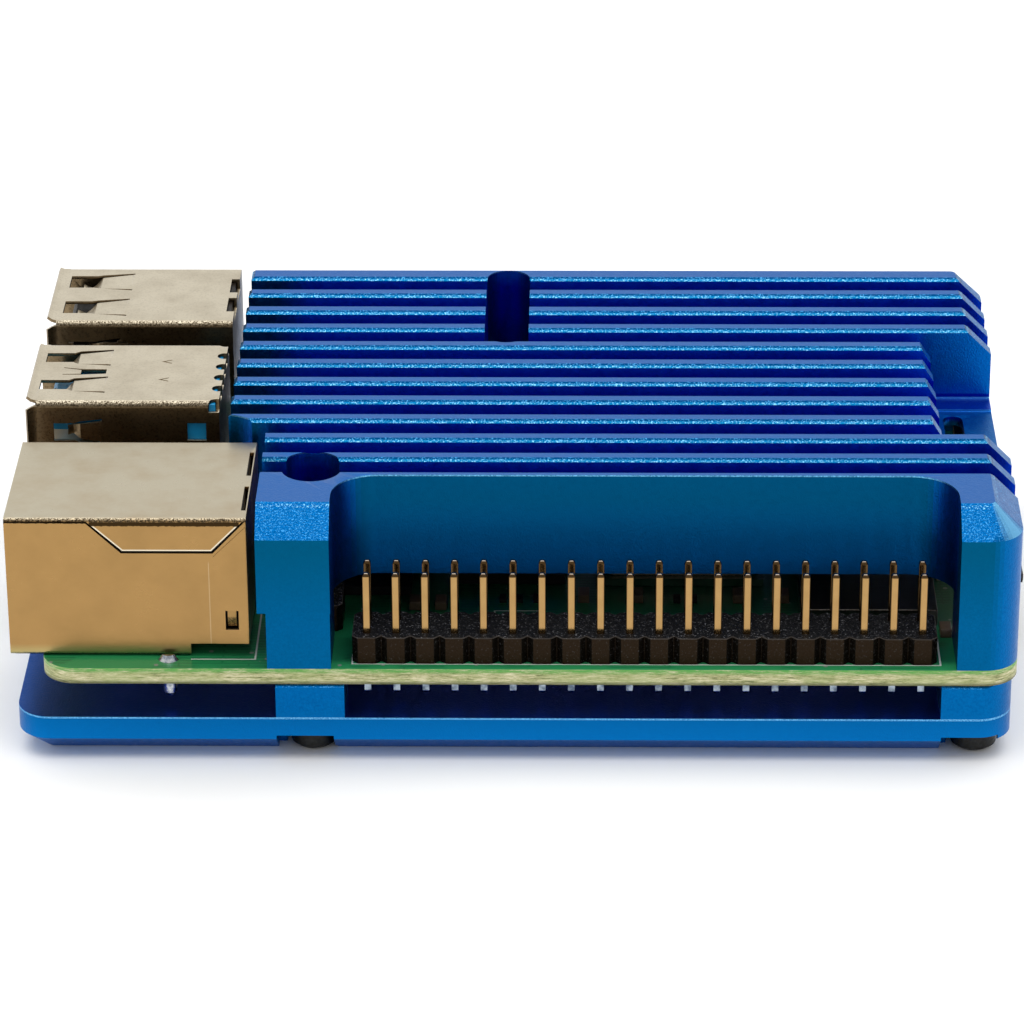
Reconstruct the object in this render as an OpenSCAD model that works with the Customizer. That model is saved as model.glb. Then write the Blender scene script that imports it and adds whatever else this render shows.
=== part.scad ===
// Single board computer clamped in a finned aluminium case.
// The origin is on the base plate's underside, below the centre of the board.
// +X points to the memory card end, -Y to the long header, +Z up out of the fins.

/* [Board] */
// Board length, from the port end to the card end
board_l = 85; // [84.8:0.1:85.2]
// Board width, from the header edge to the power edge
board_w = 56; // [55.8:0.1:56.2]
// Board thickness
board_t = 1.5; // [1.4:0.05:1.6]
// Radius of the board's corners
board_r = 3; // [2:0.5:3.5]
// Distance of the fixing holes from the card end and from both long edges
hole_inset = 3.5; // [3.4:0.1:3.6]
// Distance between the fixing holes along the board
hole_pitch = 58; // [57.8:0.1:58.2]
// Diameter of the fixing holes
hole_d = 2.7; // [2.6:0.05:2.8]

/* [Case] */
// Height of the base plate's pillars, which carry the board
base_h = 7.5; // [7:0.1:8]
// Thickness of the base plate between its pillars
deck_h = 4.2; // [3.8:0.1:4.6]
// How far the base plate reaches past the board at the port end
base_reach = 2.4; // [1.5:0.1:2.6]
// How far the base plate stops short of the board at the card end
base_inset = 0.4; // [0:0.1:0.6]
// Chamfer on the outer top edges of the base plate's pillars
pillar_chamfer = 0.35; // [0.2:0.05:0.5]
// Height of the lid above the board
lid_h = 14.9; // [14.5:0.1:15.5]
// Length of the lid from the card end
lid_l = 69.6; // [69.4:0.1:69.8]
// Free height between the board and the lid's plate
lid_gap = 5.35; // [5.2:0.05:5.5]
// Width and height of the lid's outer chamfers, and width of the base plate's
edge_chamfer = 2.5; // [2:0.1:2.6]
// Height of the base plate's chamfers
base_chamfer_h = 2.05; // [1.8:0.05:2.3]
// Radius of the case's upright corners
case_r = 3; // [2.8:0.1:3.4]

/* [Fins] */
// Number of grooves across the lid
groove_n = 11; // [9:1:11]
// Distance from one groove to the next
groove_pitch = 4.04; // [4:0.01:4.06]
// Width of each groove
groove_w = 2.5; // [2.2:0.05:2.6]
// Depth of each groove
groove_d = 7; // [6.5:0.1:7]
// Chamfer on the edges of each fin
fin_chamfer = 0.32; // [0.2:0.02:0.4]

/* [Sockets] */
// Height of the double USB sockets above the board
usb_h = 15.15; // [15:0.05:15.3]
// Width of the double USB sockets without their flared lips
usb_w = 13.1; // [12.9:0.1:13.3]
// Height of the network socket above the board
net_h = 13.3; // [13.1:0.1:13.5]
// Width of the network socket
net_w = 15.95; // [15.8:0.05:16.1]
// Height of the header pins above the board
pin_h = 8.25; // [8:0.05:8.5]
// Diameter of the audio jack's bore
audio_d = 3.6; // [3.55:0.05:3.7]

/* [Hidden] */
$fn = 48;
eps = 0.01;
mm_inch = 2.54;
far = 60;

board_z = base_h;
top_z = base_h + board_t;
lid_z = top_z + lid_h;
plate_z = top_z + lid_gap;
x_card = board_l / 2;
x_port = -board_l / 2;
x_base = x_port - base_reach;
x_base_card = x_card - base_inset;
x_lid = x_card - lid_l;
y_front = -board_w / 2;
y_rear = board_w / 2;

// Positions on the board: distance from the card end, and from the power edge
function at_x(d) = x_card - d;
function at_y(d) = y_rear - d;

hole_xs = [at_x(hole_inset), at_x(hole_inset + hole_pitch)];
hole_ys = [y_front + hole_inset, y_rear - hole_inset];

// Case screws
screw_d = 2.5;
screw_head_d = 4;
screw_head_h = 2.3;
screw_seat = 2.4;
screw_reach = 5;
recess_d = 4.8;
slot_x = [-3.1, 1.9];

// Pillars and legs between the case halves: [lowest X, highest X]
pillar_xs = [[-22.1, -16.1], [35.8, far]];
leg_xs = [[-22.75, -17.2], [37.05, far]];
leg_depth = 6.5;

// Header notch in the lid
notch_x = [-17.15, 37.05];
notch_y = -20.05;
notch_r = 4;

// Grooves
groove_y0 = -18;
groove_z = lid_z - groove_d;
function groove_y(j) = groove_y0 + j * groove_pitch;

// Camera cable slot, display cable slot and second header hole
cam_slot = [-2.55, 17, 4.1, 17];
disp_slot = [38.8, 0, 1.8, 16];
head2_hole = [-19.05, -18.4, 5.3, 6.1];

// Step for the display cable at the card end, past the ends of five fins
step_x = 36.6;
step_y = [-9, 9.3];
step_z = groove_z - 0.2;
step_chamfer = [1, 1.6];
step_ledge = [0.25, 0.9];
pocket_z = top_z + 6.8;

// Parts under the lid: [X, Y, length, width, height above the board]
soc = [at_x(29.2), at_y(32.5), 15, 15, 2.2];
ram = [at_x(44.5), at_y(32.5), 10, 14.5, 1.1];
usb_ic = [at_x(58.2), at_y(25.8), 7.6, 7.6, 0.9];
net_ic = [at_x(56.5), at_y(38.6), 6.6, 6.6, 0.9];
pmic = [at_x(16.5), at_y(17.5), 7, 7, 0.9];
wifi = [at_x(12.6), at_y(42.8), 12, 9.5, 1.6];
pad_t = 0.5;
boss_t = 0.4;

// Double USB sockets
usb_front = x_port - 2.1;
usb_back = -28.1;
sheet_t = 0.3;
port_w = 12.5;
port_h = 5.12;
port_z = [1.1, 9.35];
tongue_t = 1.84;
tongue_drop = 0.72;
tongue_front = usb_front + 0.9;
cavity_l = 9;
fast_y = at_y(27);
slow_y = at_y(9);

// Network socket
net_y = at_y(45.75);
net_front = x_port - 2.8;
net_back = -24.4;
net_mouth_w = 11.9;
net_mouth_z = [4.1, 11.7];
net_cavity_l = 12;
leg_x = -31.45;

// Long header
pin_n = 20;
pin_t = 0.64;
pin_tail = 1.85;
pin_tip = 0.25;
pin_x0 = at_x(8.37 + 19 * mm_inch);
pin_ys = [at_y(53.77), at_y(51.23)];

// Flat cable connectors: [X, Y, width along X, length along Y]
cam_con = [at_x(46.5), at_y(11.5), 5, 22];
disp_con = [at_x(3.6), 0, 5, 22];
con_h = 5.5;
con_wall_h = 3.6;

// Memory card and its socket, under the board
card_w = 11;
card_l = 15;
card_t = 0.7;
card_out = 2.2;
card_z = board_z - 0.75;
card_sock_l = 13.4;
card_sock_w = 13.4;
card_sock_h = 1.4;

// ---- Shared shapes ----

// Rectangle between two corners with rounded corners
module round_rect(x0, x1, y0, y1, r) {
  translate([x0 + r, y0]) square([x1 - x0 - 2 * r, y1 - y0]);
  translate([x0, y0 + r]) square([x1 - x0, y1 - y0 - 2 * r]);
  for (x = [x0 + r, x1 - r], y = [y0 + r, y1 - r]) translate([x, y]) circle(r);
}

// Slot with round ends that is longest along Y: s = [x, y, width, length]
module obround(s) {
  translate([s[0] - s[2] / 2, s[1] - (s[3] - s[2]) / 2]) square([s[2], s[3] - s[2]]);
  for (side = [-1, 1]) translate([s[0], s[1] + side * (s[3] - s[2]) / 2]) circle(s[2] / 2);
}

// Box between two corners
module box(x0, x1, y0, y1, z0, z1) {
  translate([x0, y0, z0]) cube([x1 - x0, y1 - y0, z1 - z0]);
}

// Box centred on a place on the board: p = [x, y, length, width, height]
module chip(p, z0 = 0, shrink = 0) {
  translate([p[0] - p[2] / 2 + shrink, p[1] - p[3] / 2 + shrink, top_z + z0])
    cube([p[2] - 2 * shrink, p[3] - 2 * shrink, p[4] - z0]);
}

// Outline in X and Z drawn out along Y between two places
module along_y(y0, y1) {
  translate([0, y1, 0]) rotate([90, 0, 0]) linear_extrude(y1 - y0) children();
}

// Outline in Y and Z drawn out along X between two places
module along_x(x0, x1) {
  translate([x0, 0, 0]) rotate([90, 0, 90]) linear_extrude(x1 - x0) children();
}

// Material taken off the lower rim of a block to chamfer it by c inwards and h upwards
module rim_cut(x0, x1, y0, y1, c, h, r) {
  skirt = 0.1;
  for (side = [0, 1]) {
    translate([0, side * (y0 + y1), 0]) mirror([0, side, 0])
      along_x(x0 - 1, x1 + 1)
        polygon([[y0 - c, -h], [y0 + 2 * c, -h], [y0 - c, 2 * h]]);
  }
  for (side = [0, 1]) {
    translate([side * (x0 + x1), 0, 0]) mirror([side, 0, 0])
      along_y(y0 - 1, y1 + 1)
        polygon([[x0 - c, -h], [x0 + 2 * c, -h], [x0 - c, 2 * h]]);
  }
  for (sx = [0, 1], sy = [0, 1]) {
    translate([sx * (x0 + x1), sy * (y0 + y1), 0]) mirror([sx, 0, 0]) mirror([0, sy, 0])
      difference() {
        box(x0 - 1, x0 + r, y0 - 1, y0 + r, -skirt / 2, h);
        translate([x0 + r, y0 + r, -skirt])
          cylinder(h = h + skirt + eps, r1 = r - c - skirt * c / h, r2 = r + eps * c / h);
      }
  }
}

// ---- Case ----

module base_plate() {
  color("royalblue") difference() {
    union() {
      linear_extrude(deck_h) round_rect(x_base, x_base_card, y_front, y_rear, case_r);
      linear_extrude(base_h) intersection() {
        round_rect(x_base, x_base_card, y_front, y_rear, case_r);
        for (x = pillar_xs, side = [-1, 1])
          translate([x[0], side > 0 ? y_rear - leg_depth : y_front])
            square([x[1] - x[0], leg_depth]);
      }
    }
    rim_cut(x_base, x_base_card, y_front, y_rear, edge_chamfer, base_chamfer_h, case_r);
    for (side = [0, 1]) mirror([0, side, 0]) along_x(-far, far)
      polygon([[y_front - 1, base_h - pillar_chamfer - 1], [y_front - 1, base_h + 1],
        [y_front + pillar_chamfer + 1, base_h + 1]]);
    for (x = hole_xs, y = hole_ys) {
      translate([x, y, -1]) cylinder(d = screw_d + 0.4, h = base_h + 2);
      translate([x, y, -1]) cylinder(d = recess_d, h = screw_seat + 1);
      box(x + slot_x[0], x + slot_x[1], min(y, sign(y) * far), max(y, sign(y) * far), -1, screw_seat);
    }
    // Finger notch under the memory card
    translate([0, 0, -1]) linear_extrude(deck_h + 2)
      round_rect(x_card - 4.5, x_card + 6, -7, 7, 2);
  }
}

// Outline of the lid, cut back round the network socket
module lid_outline() {
  cut_x = -23.5;
  cut_y = -7.45;
  cut_r = 4.5;
  difference() {
    union() {
      translate([x_lid, y_front]) square([lid_l - case_r, board_w]);
      translate([0, y_front + case_r]) square([x_card, board_w - 2 * case_r]);
      for (y = [y_front + case_r, y_rear - case_r]) translate([x_card - case_r, y]) circle(case_r);
    }
    difference() {
      translate([-far, -far]) square([far + cut_x, far + cut_y]);
      difference() {
        translate([cut_x - cut_r, cut_y - cut_r]) square(cut_r + 1);
        translate([cut_x - cut_r, cut_y - cut_r]) circle(cut_r);
      }
    }
  }
}

module heatsink_lid() {
  color("dodgerblue") difference() {
    union() {
      translate([0, 0, plate_z]) linear_extrude(lid_h - lid_gap) lid_outline();
      translate([0, 0, top_z]) linear_extrude(lid_gap + 1) intersection() {
        lid_outline();
        for (x = leg_xs, side = [-1, 1])
          translate([x[0], side > 0 ? y_rear - leg_depth : y_front])
            square([x[1] - x[0], leg_depth]);
      }
      for (p = [soc, ram, pmic, usb_ic])
        box(p[0] - p[2] / 2 + boss_t, p[0] + p[2] / 2 - boss_t, p[1] - p[3] / 2 + boss_t,
          p[1] + p[3] / 2 - boss_t, top_z + p[4] + pad_t, plate_z + 1);
    }
    // Fin grooves
    for (j = [0 : groove_n - 1])
      along_x(x_lid - 1, x_card + 1)
        translate([groove_y(j), 0])
          polygon([
            [-groove_w / 2, groove_z], [groove_w / 2, groove_z],
            [groove_w / 2, lid_z - fin_chamfer], [groove_w / 2 + fin_chamfer + 1, lid_z + 1],
            [-groove_w / 2 - fin_chamfer - 1, lid_z + 1], [-groove_w / 2, lid_z - fin_chamfer]
          ]);
    // Chamfers round the top, and a small one along the port end
    difference() {
      translate([0, 0, lid_z]) mirror([0, 0, 1])
        rim_cut(x_lid - 20, x_card, y_front, y_rear, edge_chamfer, edge_chamfer, case_r);
      box(-far, x_lid - 2, -far, far, 0, far);
    }
    along_y(-far, far)
      polygon([[x_lid - 1, lid_z - fin_chamfer - 1], [x_lid - 1, lid_z + 1],
        [x_lid + fin_chamfer + 1, lid_z + 1]]);
    // Notch over the long header
    translate([0, 0, top_z + 1]) linear_extrude(far) {
      translate([notch_x[0], -far]) square([notch_x[1] - notch_x[0], far + notch_y - notch_r]);
      translate([notch_x[0] + notch_r, -far])
        square([notch_x[1] - notch_x[0] - 2 * notch_r, far + notch_y]);
      for (x = [notch_x[0] + notch_r, notch_x[1] - notch_r])
        translate([x, notch_y - notch_r]) circle(notch_r);
    }
    // Step past the short fins, chamfered like their ends, with a low ledge along its rear wall
    for (up = [0, 1])
      along_y(step_y[0], step_y[1] - (1 - up) * step_ledge[0])
        polygon([
          [step_x, step_z + up * step_ledge[1]], [x_card + 1, step_z + up * step_ledge[1]],
          [x_card + 1, lid_z + 1], [step_x - step_chamfer[0], lid_z + 1],
          [step_x - step_chamfer[0], lid_z], [step_x, lid_z - step_chamfer[1]]
        ]);
    // Slots for the two flat cables and the hole over the second header
    for (s = [cam_slot, disp_slot, head2_hole])
      translate([0, 0, top_z + 1]) linear_extrude(far) obround(s);
    // Pockets under the plate for the tall parts
    box(cam_con[0] - 4, cam_con[0] + 4, cam_con[1] - 12, cam_con[1] + 12, top_z + 1, pocket_z);
    box(disp_con[0] - 3.4, far, -12, 12, top_z + 1, pocket_z);
    box(at_x(54) - 4.2, at_x(54) + 4.2, y_rear - 16.5, far, top_z + 1, pocket_z);
    // Blind holes for the case screws
    for (x = hole_xs, y = hole_ys)
      translate([x, y, top_z - 1]) cylinder(d = screw_d - 0.4, h = screw_reach + 2.5);
  }
}

module case_screws() {
  color("dimgray") for (x = hole_xs, y = hole_ys) translate([x, y, 0]) difference() {
    union() {
      translate([0, 0, screw_seat - screw_head_h + 0.35])
        cylinder(d = screw_head_d, h = screw_head_h - 0.35);
      translate([0, 0, screw_seat - screw_head_h])
        cylinder(d1 = screw_head_d - 0.9, d2 = screw_head_d, h = 0.35);
      cylinder(d = screw_d - 0.4, h = top_z + screw_reach);
    }
    translate([0, 0, -1]) cylinder(d = 2.3, h = 2.2, $fn = 6);
  }
}

// ---- Circuit board ----

module circuit_board() {
  color("seagreen") translate([0, 0, board_z]) difference() {
    linear_extrude(board_t) difference() {
      round_rect(x_port, x_card, y_front, y_rear, board_r);
      for (x = hole_xs, y = hole_ys) translate([x, y]) circle(d = hole_d);
      for (k = [0 : pin_n - 1], y = pin_ys) translate([pin_x0 + k * mm_inch, y]) circle(d = 1);
      for (x = [-1, 1], y = [-1, 1])
        translate([head2_hole[0] + x * mm_inch / 2, head2_hole[1] + y * mm_inch / 2]) circle(d = 1);
    }
  }
}

// Square pin with chamfered ends, standing on the board at the origin
module square_pin(h, tail) {
  outline = [
    [-pin_t / 2, -board_t - tail + pin_tip], [-pin_t / 4, -board_t - tail],
    [pin_t / 4, -board_t - tail], [pin_t / 2, -board_t - tail + pin_tip],
    [pin_t / 2, h - pin_tip], [pin_t / 4, h], [-pin_t / 4, h], [-pin_t / 2, h - pin_tip]
  ];
  intersection() {
    along_x(-pin_t, pin_t) polygon(outline);
    along_y(-pin_t, pin_t) polygon(outline);
  }
}

// Moulded header body with a bevelled cell for each pin, two rows wide
module pin_strip(n, h) {
  bevel = 0.5;
  half = mm_inch / 2;
  cell = [[-half, bevel], [bevel - half, 0], [half - bevel, 0], [half, bevel]];
  lower = [for (k = [0 : n - 1], p = cell) [k * mm_inch + p[0], p[1] - mm_inch]];
  upper = [for (k = [n - 1 : -1 : 0], p = cell) [k * mm_inch - p[0], mm_inch - p[1]]];
  linear_extrude(h) difference() {
    polygon(concat(lower, upper));
    for (k = [0 : n - 1], y = [-half, half])
      translate([k * mm_inch, y]) square(pin_t, center = true);
  }
}

module header_body() {
  color([0.08, 0.08, 0.09])
    translate([pin_x0, (pin_ys[0] + pin_ys[1]) / 2, top_z]) pin_strip(pin_n, mm_inch);
}

module header_pins() {
  color("goldenrod") for (k = [0 : pin_n - 1], y = pin_ys)
    translate([pin_x0 + k * mm_inch, y, top_z]) square_pin(pin_h, pin_tail);
}

module second_header_body() {
  color([0.08, 0.08, 0.09])
    translate([head2_hole[0] - mm_inch / 2, head2_hole[1], top_z]) pin_strip(2, mm_inch);
}

module second_header_pins() {
  color("goldenrod") for (x = [-1, 1], y = [-1, 1])
    translate([head2_hole[0] + x * mm_inch / 2, head2_hole[1] + y * mm_inch / 2, top_z])
      square_pin(pin_h, pin_tail);
}

// ---- Network socket ----

// Outline of the flap folded down from the shield's top, grown by g
module shield_flap(g) {
  z1 = top_z + net_h;
  polygon([[-38.15 - g, z1 - 0.28], [-35.15 - g / 2, z1 - 3.05 - g], [-27.45 + g / 2, z1 - 3.05 - g],
    [-24.75 + g, z1 - 0.28]]);
}

// One side's folded details, on the -Y side
module shield_side() {
  y0 = net_y - net_w / 2;
  z1 = top_z + net_h;
  along_y(y0, y0 + 0.26) shield_flap(0);
  // Overlapping sheet behind the seam, round the spring tab's window
  along_y(y0 - 0.08, y0 + 0.1) difference() {
    polygon([[net_back - 2.9, top_z + 1.3], [net_back - 0.05, top_z + 1.3], [net_back - 0.05, z1 - 0.75],
      [net_back - 2.9, z1 - 3.6]]);
    tab_window();
  }
  along_x(-26.2, -25.45) polygon([[y0 + 0.25, top_z + 4.6], [y0, top_z + 4.6], [y0 - 0.05, top_z + 3.9],
    [y0 + 0.3, top_z + 2.85], [y0 + 0.55, top_z + 2.95], [y0 + 0.15, top_z + 3.9]]);
  box(leg_x - 0.35, leg_x + 0.35, y0, y0 + sheet_t, board_z - 1.2, top_z + 1);
}
module tab_window() {
  translate([-26.4, top_z + 2.65]) square([1.15, 1.85]);
}

module network_shield() {
  t = sheet_t;
  z0 = top_z + 0.1;
  z1 = top_z + net_h;
  y0 = net_y - net_w / 2;
  y1 = net_y + net_w / 2;
  color("lightgray") {
    difference() {
      along_x(net_front, net_back) round_rect(y0, y1, z0, z1, 0.4);
      box(net_front + t, net_back - t, y0 + t, y1 - t, z0 - 1, z1 - t);
      // Raised lower edge behind the legs
      box(-29.5, net_back + 1, y0 - 1, y1 + 1, z0 - 1, z0 + 1.15);
      // Openings round the flaps, and the seam between the top and the sides
      for (side = [0, 1]) translate([0, side * 2 * net_y, 0]) mirror([0, side, 0]) {
        along_y(y0 - 1, y0 + 1) shield_flap(0.24);
        box(net_front + 0.3, -38, y0 - 1, y0 + 0.12, z1 - 0.42, z1 - 0.3);
        along_y(y0 - 1, y0 + 1) tab_window();
      }
      // Mouth, latch notch and the two light windows
      box(net_front - 1, net_front + 1, net_y - net_mouth_w / 2, net_y + net_mouth_w / 2,
        top_z + net_mouth_z[0], top_z + net_mouth_z[1]);
      box(net_front - 1, net_front + 1, net_y - 3.1, net_y + 3.1, top_z + 1.5, top_z + 5);
      for (side = [-1, 1])
        box(net_front - 1, net_front + 1, net_y + side * 5.6 - 1.5, net_y + side * 5.6 + 1.5,
          top_z + 1.2, top_z + 3.2);
      // Two slots along the rear edge of the top
      for (y = [net_y + 3.2, net_y - 3.8]) box(-24.9, -24.5, y - 2.4, y + 2.4, z1 - 1.2, z1 + 1);
    }
    for (side = [0, 1]) translate([0, side * 2 * net_y, 0]) mirror([0, side, 0]) shield_side();
  }
}

module network_insert() {
  t = sheet_t;
  y0 = net_y - net_w / 2 + t + 0.05;
  y1 = net_y + net_w / 2 - t - 0.05;
  color([0.1, 0.1, 0.11]) difference() {
    box(net_front + t + 0.05, net_back - t - 0.1, y0, y1, top_z + 0.02, top_z + net_h - t - 0.05);
    box(net_front - 1, net_front + net_cavity_l, net_y - net_mouth_w / 2, net_y + net_mouth_w / 2,
      top_z + net_mouth_z[0], top_z + net_mouth_z[1]);
    box(net_front - 1, net_front + net_cavity_l - 2, net_y - 3.1, net_y + 3.1,
      top_z + 2.7, top_z + 5);
    box(net_front - 1, net_front + net_cavity_l - 2, net_y - 2, net_y + 2,
      top_z + 1.5, top_z + 5);
    for (side = [-1, 1])
      box(net_front - 1, net_front + 4, net_y + side * 5.6 - 1.45, net_y + side * 5.6 + 1.45,
        top_z + 1.25, top_z + 3.15);
    // Comb of grooves that guides the contacts
    for (k = [0 : 7])
      box(net_front + 2, net_front + net_cavity_l + 1.3, net_y + (k - 3.5) * 1.02 - 0.25,
        net_y + (k - 3.5) * 1.02 + 0.25, top_z + net_mouth_z[1] - 1, top_z + net_mouth_z[1] + 0.6);
    // Hollows for the shield's legs and spring tabs, and the step under its raised edge
    for (y = [y0, y1]) box(-32.6, -30.6, y - 0.2, y + 0.2, top_z - 1, top_z + 1.4);
    for (y = [y0, y1]) box(-26.9, -25.1, y - 0.8, y + 0.8, top_z + 1.6, top_z + 4.9);
    box(-29.6, net_back + 1, y0 - 1, y1 + 1, top_z - 1, top_z + 1.25);
  }
}

module network_contacts() {
  x0 = net_front + 2.4;
  x1 = net_front + net_cavity_l + 1.2;
  z = top_z + net_mouth_z[1];
  color("gold") for (k = [0 : 7])
    along_y(net_y + (k - 3.5) * 1.02 - 0.17, net_y + (k - 3.5) * 1.02 + 0.17)
      polygon([
        [x0, z + 0.15], [x0 + 0.9, z + 0.5], [x1, z + 0.5], [x1, z + 0.2],
        [x0 + 1.6, z + 0.2], [x1 - 3.2, z - 2.2], [x1 - 3.5, z - 2.3], [x0 + 0.6, z + 0.05]
      ]);
}

module network_light_pipes() {
  color("palegreen") for (side = [-1, 1])
    box(net_front + 0.1, net_front + 3.9, net_y + side * 5.6 - 1.4, net_y + side * 5.6 + 1.4,
      top_z + 1.3, top_z + 3.1);
}

// ---- Double USB sockets ----

// Spring finger left in its window and dipped inwards: root at X = 0, tip towards -X
module spring_finger(len, root_w, tip_w, dip) {
  t = sheet_t;
  neck = len * 0.62;
  intersection() {
    along_y(-root_w, root_w)
      polygon([
        [0.1, 0], [-neck, -dip * 0.1], [-len * 0.84, -dip], [-len, -dip * 0.55],
        [-len, -dip * 0.55 + t * 0.7], [-len * 0.84, t * 0.7 - dip], [-neck, t * 0.8 - dip * 0.1], [0.1, t]
      ]);
    translate([0, 0, -2]) linear_extrude(4)
      polygon([[0.1, -root_w / 2], [0.1, root_w / 2], [-neck, root_w * 0.37], [-neck - 0.6, tip_w / 2],
        [-len, tip_w / 2], [-len, -tip_w / 2], [-neck - 0.6, -tip_w / 2], [-neck, -root_w * 0.37]]);
  }
}

// Opening round a spring finger: a slit along each side that widens into a window past the tip
module finger_window(len, root_w, end_w) {
  neck = len * 0.62;
  slit = 0.28;
  linear_extrude(2, center = true)
    polygon([
      [0.15, -root_w / 2 - slit], [-neck, -root_w * 0.37 - slit], [-neck - 0.5, -end_w / 2],
      [-len - 1.25, -end_w / 2], [-len - 1.25, end_w / 2], [-neck - 0.5, end_w / 2],
      [-neck, root_w * 0.37 + slit], [0.15, root_w / 2 + slit]
    ]);
}

// Web that joins a finger's root to the sheet
module finger_root(root_w) {
  translate([-0.02, -root_w / 2 - 0.03, 0]) cube([0.18, root_w + 0.06, sheet_t]);
}

// Lip flared outwards along one edge of the mouth, from Y = 0 to Y = w, in the plane Z = 0
module flared_lip(w) {
  cut = 0.75;
  intersection() {
    along_y(0, w)
      polygon([[usb_front, 0], [usb_front - 0.5, 0.08], [usb_front - 0.9, 0.32], [usb_front - 0.75, 0.56],
        [usb_front - 0.4, 0.36], [usb_front + 0.15, sheet_t], [usb_front + 0.15, 0]]);
    translate([0, 0, -1]) linear_extrude(3)
      polygon([[usb_front + 1, 0.4], [usb_front + 1, w - 0.4], [usb_front - 0.1, w - 0.4],
        [usb_front - 1, w - cut], [usb_front - 1, cut], [usb_front - 0.1, 0.4]]);
  }
}

// Folded shell of a double socket centred on Y = 0, with the board's top at Z = 0.
// f = [root X, root width, window's end width, tip width, [Y of each finger]]
module usb_shell(f) {
  t = sheet_t;
  w = usb_w / 2;
  finger_l = 4.6;
  side_l = 3;
  side_root = usb_front + 5.8;
  side_z = port_h / 2 + 0.3;
  z0 = 0.1;
  difference() {
    union() {
      difference() {
        along_x(usb_front, usb_back) round_rect(-w, w, z0, usb_h, 0.6);
        along_x(usb_front - 1, usb_back - t) round_rect(t - w, w - t, z0 + t, usb_h - t, 0.35);
      }
      translate([0, -w, usb_h - t]) flared_lip(usb_w);
      for (side = [0, 1]) mirror([0, side, 0])
        translate([0, w - t, 0]) rotate([-90, 0, 0]) translate([0, -usb_h, 0]) flared_lip(usb_h - 0.4);
      for (side = [-1, 1]) box(-34.8, -33.4, side * (w - t / 2) - t / 2, side * (w - t / 2) + t / 2,
        -board_t - 1, 1);
    }
    for (y = f[4]) translate([f[0], y, usb_h]) finger_window(finger_l, f[1], f[2]);
    for (side = [-1, 1], z = port_z) translate([side_root, side * w, z + side_z])
      rotate([90, 0, 0]) finger_window(side_l, 2, 1.7);
  }
  for (y = f[4]) translate([f[0], y, usb_h - t]) {
    spring_finger(finger_l, f[1] - 0.05, f[3], 0.8);
    finger_root(f[1]);
  }
  for (side = [0, 1], z = port_z) mirror([0, side, 0])
    translate([side_root, w - t, z + side_z]) rotate([-90, 0, 0]) {
      spring_finger(side_l, 1.95, 0.9, 0.6);
      finger_root(2);
    }
}

module fast_usb_shell() {
  w = usb_w / 2;
  color("silver") translate([0, fast_y, top_z]) {
    difference() {
      usb_shell([usb_front + 5.9, 3, 2, 0.9, [-2.7, 3.3]]);
      // Small centre finger, with its root nearest the mouth
      translate([0, 0, usb_h - 1]) linear_extrude(2) {
        polygon([[-42.75, 1.1], [-41, 0.72], [-41, 0.5], [-42.75, 0.98]]);
        polygon([[-42.75, -0.38], [-41, -0.3], [-41, -0.5], [-42.75, -0.5]]);
        polygon([[-41.1, -0.5], [-38.8, -0.28], [-38.8, 0.7], [-41.1, 0.72]]);
      }
      // Scallops along the rear bend, and a window in each side
      for (k = [-1 : 2]) translate([usb_back - 0.2, k * 2.4 - 1.1, usb_h - 1]) cylinder(r = 0.62, h = 2);
      for (side = [-1, 1]) translate([usb_back - 0.2, side * w, usb_h - 1]) cylinder(r = 0.75, h = 2);
      for (side = [-1, 1])
        box(usb_back - 2.9, usb_back - 1.2, side * w - 1, side * w + 1, 11.4, 13.1);
      // Lanced arrows beside the rear of the top
      for (y = [-1.57, 2.4]) translate([usb_front + 11.2, y, usb_h - 0.12]) linear_extrude(1)
        polygon([[-0.55, 0.02], [0.4, 0.45], [0.4, 0.3], [-0.2, 0.02], [0.4, -0.26], [0.4, -0.42]]);
    }
  }
}

module slow_usb_shell() {
  w = usb_w / 2;
  color("silver") translate([0, slow_y, top_z]) difference() {
    usb_shell([usb_front + 6.3, 3.5, 2.8, 1.3, [-3.05, 3]]);
    for (y = [-2.4, 2.1]) box(usb_back - 0.75, usb_back + 1, y - 1.6, y + 1.6, usb_h - 1, usb_h + 1);
    // Slit of the long loop in each side
    for (side = [-1, 1]) box(-43.5, -38, side * w - 1, side * w + 1, 13, 13.15);
  }
}

// Metal divider between the two mouths, a folded channel open at the back
module usb_divider() {
  t = sheet_t;
  z0 = port_z[0] + port_h;
  z1 = port_z[1];
  w = usb_w / 2 - t - 0.05;
  difference() {
    box(usb_front + 0.3, usb_front + cavity_l - 0.1, -w, w, z0, z1);
    box(usb_front + 0.3 + t, usb_front + cavity_l + 1, -w - 1, w + 1, z0 + t, z1 - t);
    for (y = [-3, 3], z = [z0, z1]) box(usb_front + 2, usb_front + 5, y - 1, y + 1, z - 0.5, z + 0.5);
  }
}

module fast_usb_divider() {
  color("silver") translate([0, fast_y, top_z]) usb_divider();
}

module slow_usb_divider() {
  color("silver") translate([0, slow_y, top_z]) usb_divider();
}

// Moulded insert: the block behind both mouths, and a tongue in each
module usb_insert() {
  t = sheet_t;
  w = usb_w / 2 - t - 0.05;
  box(usb_front + cavity_l, usb_back - t - 0.05, -w, w, 0.1 + t + 0.05, usb_h - t - 0.05);
  for (z = port_z) {
    top = z + port_h - tongue_drop;
    along_y(-port_w / 2 + 0.85, port_w / 2 - 0.85)
      polygon([
        [usb_front + cavity_l + 0.1, top], [tongue_front + 0.4, top], [tongue_front, top - 0.3],
        [tongue_front, top - tongue_t + 0.5], [tongue_front + 0.6, top - tongue_t],
        [usb_front + cavity_l + 0.1, top - tongue_t]
      ]);
  }
}

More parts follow.
